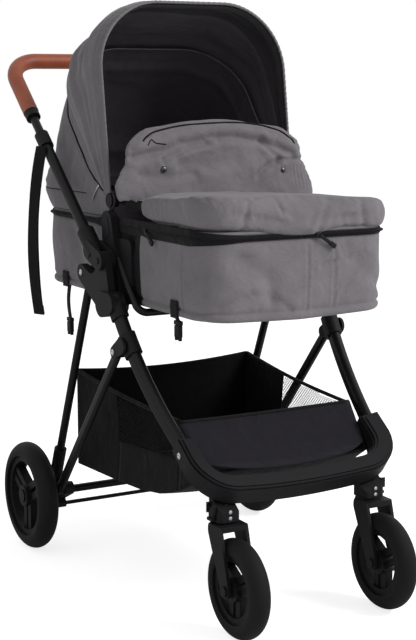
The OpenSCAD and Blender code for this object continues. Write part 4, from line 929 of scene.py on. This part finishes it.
outer_rows, inner_rows = [], []
for angle, drop in rear_rows:
    swell = rear_swell(angle, drop)
    row = hood_point(angle, share, hood_foot, swell)
    wave = 0.0040 * soft_noise(row * [0.6, 1, 1], 0.06, 2.3) + 0.0016 * soft_noise(row, 0.026, 4.4)
    edge = np.clip(angle / 6, 0, 1) * np.clip((rear_top - angle) / 5, 0, 1)
    # Above its slack the cloth stays low enough for the front bow to fold over it.
    grow = np.minimum(swell + wave * mid_share * edge, np.interp(angle, (12, 17, 24), (0.03, 0.0035, 0.0002)))
    row = hood_point(angle, share, hood_foot, grow - 0.0005)
    under = hood_point(angle, share, hood_foot, grow - cloth_thick - 0.011 * max(0, -drop - 0.015) / 0.0165)
    row[:, 2] += drop
    under[:, 2] += drop
    outer_rows.append(row)
    inner_rows.append(under)
loops = np.array(outer_rows + inner_rows[::-1]).transpose(1, 0, 2)
outer_count = len(rear_rows)


rear_hood = ring_skin("hood_rear_cloth", loops, [grey_oxford, black_lining],
                      lambda i, j: 0 if j < outer_count else 1)
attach(rear_hood, "chassis")
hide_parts("hood_panel_rear")

rear_skin = skin_of(rear_hood)
piping_path = []
for s in np.linspace(0.03, 0.97, 220):
    a = float(piping_angle(np.array(s)))
    guess = hood_point(a, np.array(s), hood_foot, 0.0)
    hit, *_ = rear_skin.find_nearest(Vector(guess))
    piping_path.append(np.array(hit) + (guess - np.array(hit)) * 0.2)
rear_piping = tube("hood_piping", piping_path, 0.0019, webbing)
seam_path, seam_rise = [], 0.006
for s in np.linspace(0.10, 0.90, 220):
    out = float(arch_point(np.array(s), hood_foot, 0.0)[1])
    a = math.degrees(math.asin(seam_rise / out))
    inside, outside = (Vector(hood_point(a, np.array(s), hood_foot, grow)) for grow in (0.0, 0.06))
    hit, normal, *_ = rear_skin.ray_cast(outside, inside - outside)
    seam_path.append(np.array(hit) - 0.0003 * np.array(normal))
rear_seam = tube("hood_seam_thread", seam_path, 0.0011, webbing)
for trim in (rear_piping, rear_seam):
    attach(trim, "chassis")
pull_path = []
for y, z in ((0.080, 0.744), (0.088, 0.735), (0.096, 0.726), (0.104, 0.716)):
    hit, *_ = rear_skin.ray_cast(Vector((-0.3, y, z)), Vector((1, 0, 0)))
    pull_path.append(np.array(hit) - (0.0022, 0, 0))
hood_pull = tube("hood_zip_pull", smooth_line(pull_path, 16), 0.0018, zinc_plate)
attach(hood_pull, "chassis")


# Hood, front half: one gathered sheet over the front bow, drawn in soft folds along the arch,
# turned in at the rim with a puckered binding and faced inside with charcoal cloth.
charcoal_facing = woven_cloth("charcoal_facing_cloth", "#333033", "#413e41", sheen=0.1)
front_low, front_rim = 45.5, 82.0
front_gap = 0.004
front_angles = [front_low + (front_rim - front_low) * t for t in np.linspace(0, 1, 92)]
rim_roll = [(0.0015 + 0.003 * math.sin(b), 0.0038 * math.cos(b)) for b in np.radians(np.linspace(70, -70, 9))]
run_out = arch_point(share, hood_foot, 0.007)
arch_run = np.concatenate([[0], np.cumsum(np.hypot(np.diff(run_out[0]), np.diff(run_out[1])))])
pucker_step = 0.0105
pucker_turn = 2 * np.pi * arch_run / pucker_step + 2.6 * np.sin(arch_run * 29)


def front_swell(angle):
    """Two full folds with finer gathers between them, least at the hinges."""
    t = (angle - front_low) / (front_rim - front_low)
    drift = 0.05 * np.sin(2 * np.pi * share * 2 + 1.0) + 0.03 * np.sin(2 * np.pi * share * 5)
    main = 0.0115 * np.abs(np.sin(2 * np.pi * np.clip(t + drift * math.sin(math.pi * t), 0, 1)))
    fine = 0.0026 * np.sin(2 * np.pi * (4.6 * t + 2 * drift)) * math.sin(math.pi * t)
    return mid_share * (main + fine)


outer_rows, inner_rows = [], []
for angle in front_angles:
    swell = front_swell(angle)
    row = hood_point(angle, share, hood_foot, front_gap + cloth_thick + swell)
    t = (angle - front_low) / (front_rim - front_low)
    wave = 0.0042 * soft_noise(row * [0.7, 1, 1], 0.055, 6.1) + 0.0016 * soft_noise(row, 0.024, 8.8)
    wave = wave * math.sin(math.pi * t)
    near_rim = math.exp(-((front_rim - angle) / 3.2) ** 2)
    pucker = 0.0007 * np.sin(pucker_turn) * near_rim
    sewn = 0.0016 * math.exp(-((front_rim - 2.6 - angle) / 0.55) ** 2)
    grow = front_gap + cloth_thick + swell + (wave + pucker - sewn) * mid_share
    outer_rows.append(hood_point(angle, share, hood_foot, grow))
    inner_rows.append(hood_point(angle, share, hood_foot, np.maximum(front_gap, grow - 0.0035)))
ruffle = 0.0006 * np.sin(pucker_turn + 0.8)
roll_rows = [hood_point(front_rim, share, hood_foot, front_gap + lift + ruffle * 0.6, 0.004 + slide + ruffle * 0.5)
             for lift, slide in rim_roll]
loops = np.array(outer_rows + roll_rows + inner_rows[::-1]).transpose(1, 0, 2)
outer_count, roll_count = len(outer_rows), len(roll_rows)
facing_rows = 34


def front_kind(i, j):
    """Grey outside and over the rim, charcoal just inside it, lining further in."""
    if j < outer_count + roll_count - 2:
        return 0
    return 2 if j < outer_count + roll_count + facing_rows else 1


front_hood = ring_skin("hood_front_cloth", loops, [grey_oxford, black_lining, charcoal_facing], front_kind)
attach(front_hood, "hood")
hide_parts("hood_panel_front")
coat(["hood_bow_front", "hood_bow_rear"], charcoal_facing)


# Basket: a black cloth tray hung between the legs, its walls slack and its floor sagging.
# The front wall is charcoal, a webbing edge runs round the top, and both sides have a net window.
basket_front, basket_back = -0.285, 0.186
basket_toe, basket_keel = -0.210, -0.130
basket_low, toe_high, back_high = 0.185, 0.346, 0.374
canvas_thick, canvas_inset = 0.0022, 0.002
basket_charcoal = woven_cloth("charcoal_basket_panel", "#1a181d", "#222026", sheen=0.06)


def basket_half(y):
    """Half the basket's width, which grows to the back."""
    return 0.170 + 0.026 * (y - basket_front) / (basket_back - basket_front)


def basket_bottom(y):
    """Height of the floor's edge."""
    return np.interp(y, (basket_front, -0.24, -0.19, basket_keel, -0.06, 0.02, basket_back),
                     (0.272, 0.244, 0.218, 0.199, 0.190, 0.187, basket_low))


def basket_top(y):
    """Height of the side walls' top edge."""
    line = np.interp(y, (basket_front, basket_toe, basket_back), (0.274, toe_high, back_high))
    return line - 0.006 * np.sin(np.pi * np.clip((y - basket_toe) / (basket_back - basket_toe), 0, 1))


def wall_point(side, y, z):
    """A point of a side wall, which bellies a little between its edges."""
    up = np.clip((z - basket_bottom(y)) / np.maximum(basket_top(y) - basket_bottom(y), 1e-4), 0, 1)
    along = np.clip((y - basket_front) / (basket_back - basket_front), 0, 1)
    belly = 0.005 * np.sin(np.pi * up) * np.sin(np.pi * along)
    flat = np.stack([np.zeros_like(y), y, z], axis=-1).reshape(-1, 3)
    crumple = (0.0035 * soft_noise(flat, 0.06, 3.0 + side)).reshape(y.shape)
    crumple = crumple * np.sin(np.pi * up) * np.sin(np.pi * along)
    return np.stack([side * (basket_half(y) - belly - crumple - canvas_inset), y, z], axis=-1)


def wall_strip(name, side, first, last, low, high, rows, columns):
    """Part of a side wall between two heights that vary along it."""
    y, v = np.meshgrid(np.linspace(first, last, columns), np.linspace(0, 1, rows), indexing="ij")
    z = low(y) + (high(y) - low(y)) * v
    return sheet_solid(name, wall_point(side, y, z), canvas_thick, [black_canvas])


net_first, net_last = -0.196, 0.024


def net_top(y):
    """Height of the net window's top edge."""
    return basket_top(y) - 0.003


def net_bottom(y):
    """Height of the net window's bottom edge."""
    return np.interp(y, (net_first, net_last), (0.274, 0.262))


panels = []
for side in (-1, 1):
    panels.append(wall_strip("rear", side, net_last, basket_back, basket_bottom, basket_top, 24, 22))
    panels.append(wall_strip("nose", side, basket_front, net_first, basket_bottom, basket_top, 20, 14))
    panels.append(wall_strip("low", side, net_first, net_last, basket_bottom, net_bottom, 12, 30))
lengths = np.concatenate([np.linspace(basket_front, basket_keel, 14), np.linspace(basket_keel, basket_back, 30)[1:]])
y, x = np.meshgrid(lengths, np.linspace(-1, 1, 34), indexing="ij")
sag = (1 - x ** 2) * np.sin(np.pi * np.clip((y - basket_front) / (basket_back - basket_front), 0, 1))
lumps = soft_noise(np.stack([x * 0.18, y, 0 * y], -1).reshape(-1, 3), 0.07).reshape(y.shape)
floor_z = basket_bottom(y) - 0.010 * sag + 0.003 * lumps * (1 - x ** 4)
floor_grid = np.stack([x * (basket_half(y) - canvas_inset), y, floor_z], -1)
panels.append(sheet_solid("floor", floor_grid, canvas_thick, [black_canvas]))
x, v = np.meshgrid(np.linspace(-1, 1, 34), np.linspace(0, 1, 21), indexing="ij")
back_y = basket_back - canvas_inset - 0.010 * np.sin(np.pi * v) * (1 - x ** 2) * 0.6
back_z = basket_bottom(np.array(basket_back)) + v * (back_high - basket_low - 0.010 * (1 - x ** 2))
panels.append(sheet_solid("back", np.stack([x * 0.194, back_y, back_z], -1), canvas_thick, [black_canvas]))
knee = 0.2
low_y, low_z = -0.307 + 0.034 * x ** 4, 0.2700 + 0.014 * x ** 2
knee_y, knee_z = -0.284 + 0.010 * x ** 4, 0.2790 + 0.008 * x ** 2
rise = np.clip((v - knee) / (1 - knee), 0, 1)
front_y = np.where(v < knee, low_y + (knee_y - low_y) * v / knee, knee_y + (basket_toe - knee_y) * rise)
front_z = np.where(v < knee, low_z + (knee_z - low_z) * v / knee, knee_z + (toe_high - knee_z) * rise)
fold = 0.003 * np.exp(-((v - 0.42 - 0.06 * x) / 0.05) ** 2) * (1 - x ** 4)
dip = (1 - x ** 2) * (0.008 * np.sin(np.pi * v) + 0.003 * v) + fold
reach = basket_half(front_y) - canvas_inset + 0.010 * rise
front_grid = np.stack([x * reach, front_y + dip * 0.6, front_z - dip * 0.7], -1)
panels.append(sheet_solid("front", front_grid, 0.0024, [basket_charcoal]))
basket = joined("basket_cloth", panels)
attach(basket, "chassis")
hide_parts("basket")
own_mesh(basket)

edge = []
for y in np.linspace(basket_toe, basket_back - 0.004, 30):
    edge.append((-basket_half(y) + 0.001, y, float(basket_top(np.array(y)))))
for x in np.linspace(-0.190, 0.190, 26):
    edge.append((x, basket_back - canvas_inset, back_high - 0.010 * (1 - (x / 0.194) ** 2)))
for y in np.linspace(basket_back - 0.004, basket_toe, 30):
    edge.append((basket_half(y) - 0.001, y, float(basket_top(np.array(y)))))
for x in np.linspace(0.180, -0.180, 26):
    edge.append((x, basket_toe + 0.0018 * (1 - (x / 0.184) ** 2), toe_high - 0.002 * (1 - (x / 0.184) ** 2)))
binding = tube("basket_binding", edge, 0.0036, webbing, sides=10, loop=True)
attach(binding, "chassis")
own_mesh(binding)

strand_r, net_pitch = 0.00055, 0.0052
strands = []
for side in (-1, 1):
    for slope in (-1, 1):
        start = net_first - 0.12 if slope > 0 else net_first
        stop = net_last if slope > 0 else net_last + 0.12
        for first in np.arange(start, stop, net_pitch * math.sqrt(2)):
            t = np.linspace(0, 0.110, 24)
            y = first + slope * t
            z = 0.2605 + t
            keep = (y > net_first) & (y < net_last) & (z > net_bottom(y) - 0.001) & (z < net_top(y) + 0.001)
            if keep.sum() > 1:
                strands.append(tube("strand", wall_point(side, y[keep], z[keep]), strand_r, webbing, sides=4))
net = joined("basket_net", strands)
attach(net, "chassis")
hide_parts("basket_mesh")
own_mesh(net)


# Wrist strap: a loop of nylon webbing sewn at the left collar, hanging free beside the handle.
# It is two layers with a ripple down their edges and a hem at the low end.
bar_angle = math.radians(40.5)
strap_wide, strap_long, strap_bow = 0.025, 0.340, 0.620
strap_sweep = strap_long / strap_bow
down_bar = 0.243
bar_x, bar_y, bar_z = -0.226, 0.4215, 0.977
bar_radius, strap_gap = 0.0105, 0.0025
strap_start = np.array((bar_x - bar_radius - strap_gap, bar_y - down_bar * math.cos(bar_angle),
                        bar_z - down_bar * math.sin(bar_angle)))
lean = math.pi - strap_sweep / 2 - math.radians(3.3)
swing = math.radians(-152)


def strap_point(turn, across, lift):
    """A point of the strap: how far round its bow, how far across it, and off its face."""
    r = strap_bow - 0.001 - lift
    x, y, z = strap_bow - r * np.cos(turn), across, r * np.sin(turn)
    x, z = x * math.cos(lean) + z * math.sin(lean), -x * math.sin(lean) + z * math.cos(lean)
    return np.stack([strap_start[0] + x * math.cos(swing) - y * math.sin(swing),
                     strap_start[1] + x * math.sin(swing) + y * math.cos(swing), strap_start[2] + z], axis=-1)


def strap_grid(first, last, rows, columns):
    """Turns and places across for a grid on the strap."""
    return np.meshgrid(np.linspace(first, last, rows), np.linspace(-strap_wide / 2, strap_wide / 2, columns),
                       indexing="ij")


strap_top = 0.012
turn, across = strap_grid(strap_top, strap_sweep, 90, 12)
ripple = 0.0012 * np.sin(turn * 21) * (across / strap_wide)
layers = [sheet_solid("layer", strap_point(turn, across, ripple + lift), 0.0012, [webbing])
          for lift in (-0.0008, 0.0008)]
turn, across = strap_grid(strap_sweep - 0.03, strap_sweep - 0.002, 6, 6)
layers.append(sheet_solid("hem", strap_point(turn, across, 0.0019 + 0 * turn), 0.0008, [webbing]))
strap = joined("wrist_strap_webbing", layers)
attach(strap, "handle")
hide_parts("wrist_strap")


# Bolts: zinc-plated button heads with a hex socket, on the frame's joints.
# One head is turned and set wherever a place and a direction are given.
def bolt_set(name, places, radius, body):
    """Button heads on one body; each place is a point and the way its head looks."""
    paths = bpy.data.meshes.new(name)
    paths.from_pydata([tuple(p) for p, _ in places], [], [])
    paths.attributes.new("looks", "FLOAT_VECTOR", "POINT").data.foreach_set(
        "vector", np.array([w for _, w in places], float).ravel())
    piece = put(name, paths)
    head, given, size_in = copy_tree(name + "_heads", "Places", "Head radius", "Heads")
    looks = add_node(head, "GeometryNodeInputNamedAttribute", {"Name": "looks"}, data_type="FLOAT_VECTOR")
    spin = add_node(head, "FunctionNodeAlignRotationToVector", {"Vector": looks.outputs[0]}, axis="Z")
    dome = add_node(head, "GeometryNodeMeshCylinder", {
        "Vertices": 28, "Side Segments": 3, "Fill Segments": 4, "Radius": 1.0, "Depth": 0.5})
    where = add_node(head, "GeometryNodeInputPosition")
    axes = add_node(head, "ShaderNodeSeparateXYZ", {0: where.outputs[0]})
    flat = add_node(head, "ShaderNodeCombineXYZ", {"X": axes.outputs["X"], "Y": axes.outputs["Y"]})
    far = add_node(head, "ShaderNodeVectorMath", {0: flat.outputs[0]}, operation="LENGTH")
    round_ = add_node(head, "ShaderNodeMath", {0: far.outputs["Value"], 1: far.outputs["Value"]}, operation="MULTIPLY")
    above = add_node(head, "ShaderNodeMath", {0: axes.outputs["Z"], 1: 0.2}, operation="GREATER_THAN")
    fall = add_node(head, "ShaderNodeMath", {0: round_.outputs[0], 1: -0.26}, operation="MULTIPLY")
    sink = add_node(head, "ShaderNodeMath", {0: far.outputs["Value"], 1: 0.45}, operation="LESS_THAN")
    socket = add_node(head, "ShaderNodeMath", {0: sink.outputs[0], 1: -0.34}, operation="MULTIPLY")
    both = add_node(head, "ShaderNodeMath", {0: fall.outputs[0], 1: socket.outputs[0]}, operation="ADD")
    only = add_node(head, "ShaderNodeMath", {0: both.outputs[0], 1: above.outputs[0]}, operation="MULTIPLY")
    move = add_node(head, "ShaderNodeCombineXYZ", {"Z": only.outputs[0]})
    domed = add_node(head, "GeometryNodeSetPosition", {"Geometry": dome.outputs["Mesh"], "Offset": move.outputs[0]})
    laid = add_node(head, "GeometryNodeInstanceOnPoints", {
        "Points": given.outputs["Places"], "Instance": domed.outputs[0], "Rotation": spin.outputs[0],
        "Scale": given.outputs["Head radius"]})
    grow_copies(piece, head, laid, zinc_plate, size_in, radius)
    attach(piece, body)
    return piece


frame_heads, caster_heads = [], []
for side in (-1.0, 1.0):
    for x, y, z in ((0.2385, -0.0664, 0.4538), (0.2335, 0.0776, 0.5828), (0.2105, -0.266, 0.303)):
        frame_heads.append(((side * x, y, z), (side, 0, 0)))
    for z in (0.203, 0.214):
        caster_heads.append(((side * 0.151, -0.3405, z), (0, -1.0, 0)))
bolts = bolt_set("frame_bolt_heads", frame_heads, 0.0062, "chassis")
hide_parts("frame_bolts")
bolt_set("caster_bolt_heads", caster_heads, 0.0034, "chassis")


# Hanging straps: short webbing tails sewn under the tub with square patches,
# each ending in a side-release buckle.
def hanging_strap(name, y, tail, buckle_tall):
    """A patch on the tub's left wall with a tail of webbing and its buckle below."""
    x, top, inward = -0.1925, 0.5362, 0.0105
    out, along, down = np.array((-1.0, 0, 0)), np.array((0, 1.0, 0)), np.array((0, 0, -1.0))
    rows, columns = np.meshgrid(np.linspace(0, 0.031, 8), np.linspace(-0.013, 0.013, 8), indexing="ij")
    patch = np.stack([np.full_like(rows, x + 0.0003) + 0.0006 * np.sin(rows * 240), y + columns, 0.5340 + rows], -1)
    parts = [sheet_solid("patch", patch, 0.0014, [webbing])]
    rows, columns = np.meshgrid(np.linspace(0, 1, 20), np.linspace(-0.007, 0.007, 6), indexing="ij")
    sway = 0.004 * np.sin(rows * math.pi)
    drop = np.stack([x + inward - sway, y + columns + 0.003 * rows, top + 0.008 - rows * (tail + 0.008)], -1)
    parts.append(sheet_solid("tail", drop, 0.0016, [webbing]))
    foot = np.array((x + inward, y + 0.003, top - tail))
    turn = (along, down, out)
    parts.append(block("bar", foot + down * 0.004, (0.0105, 0.004, 0.0040), turn, moulded_nylon, 0.0016))
    parts.append(block("body", foot + down * (0.006 + buckle_tall * 0.36), (0.0085, buckle_tall * 0.30, 0.0044),
                       turn, moulded_nylon, 0.002))
    for s in (-1, 1):
        parts.append(block("prong", foot + down * (buckle_tall * 0.78) + along * s * 0.0065,
                           (0.0022, buckle_tall * 0.2, 0.0030), turn, moulded_nylon, 0.001))
    made = joined(name, parts)
    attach(made, "chassis")
    return made


rear_tail = hanging_strap("rear_hanging_strap", 0.240, 0.066, 0.036)
hanging_strap("front_hanging_strap", -0.216, 0.008, 0.036)
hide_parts("buckle_straps")
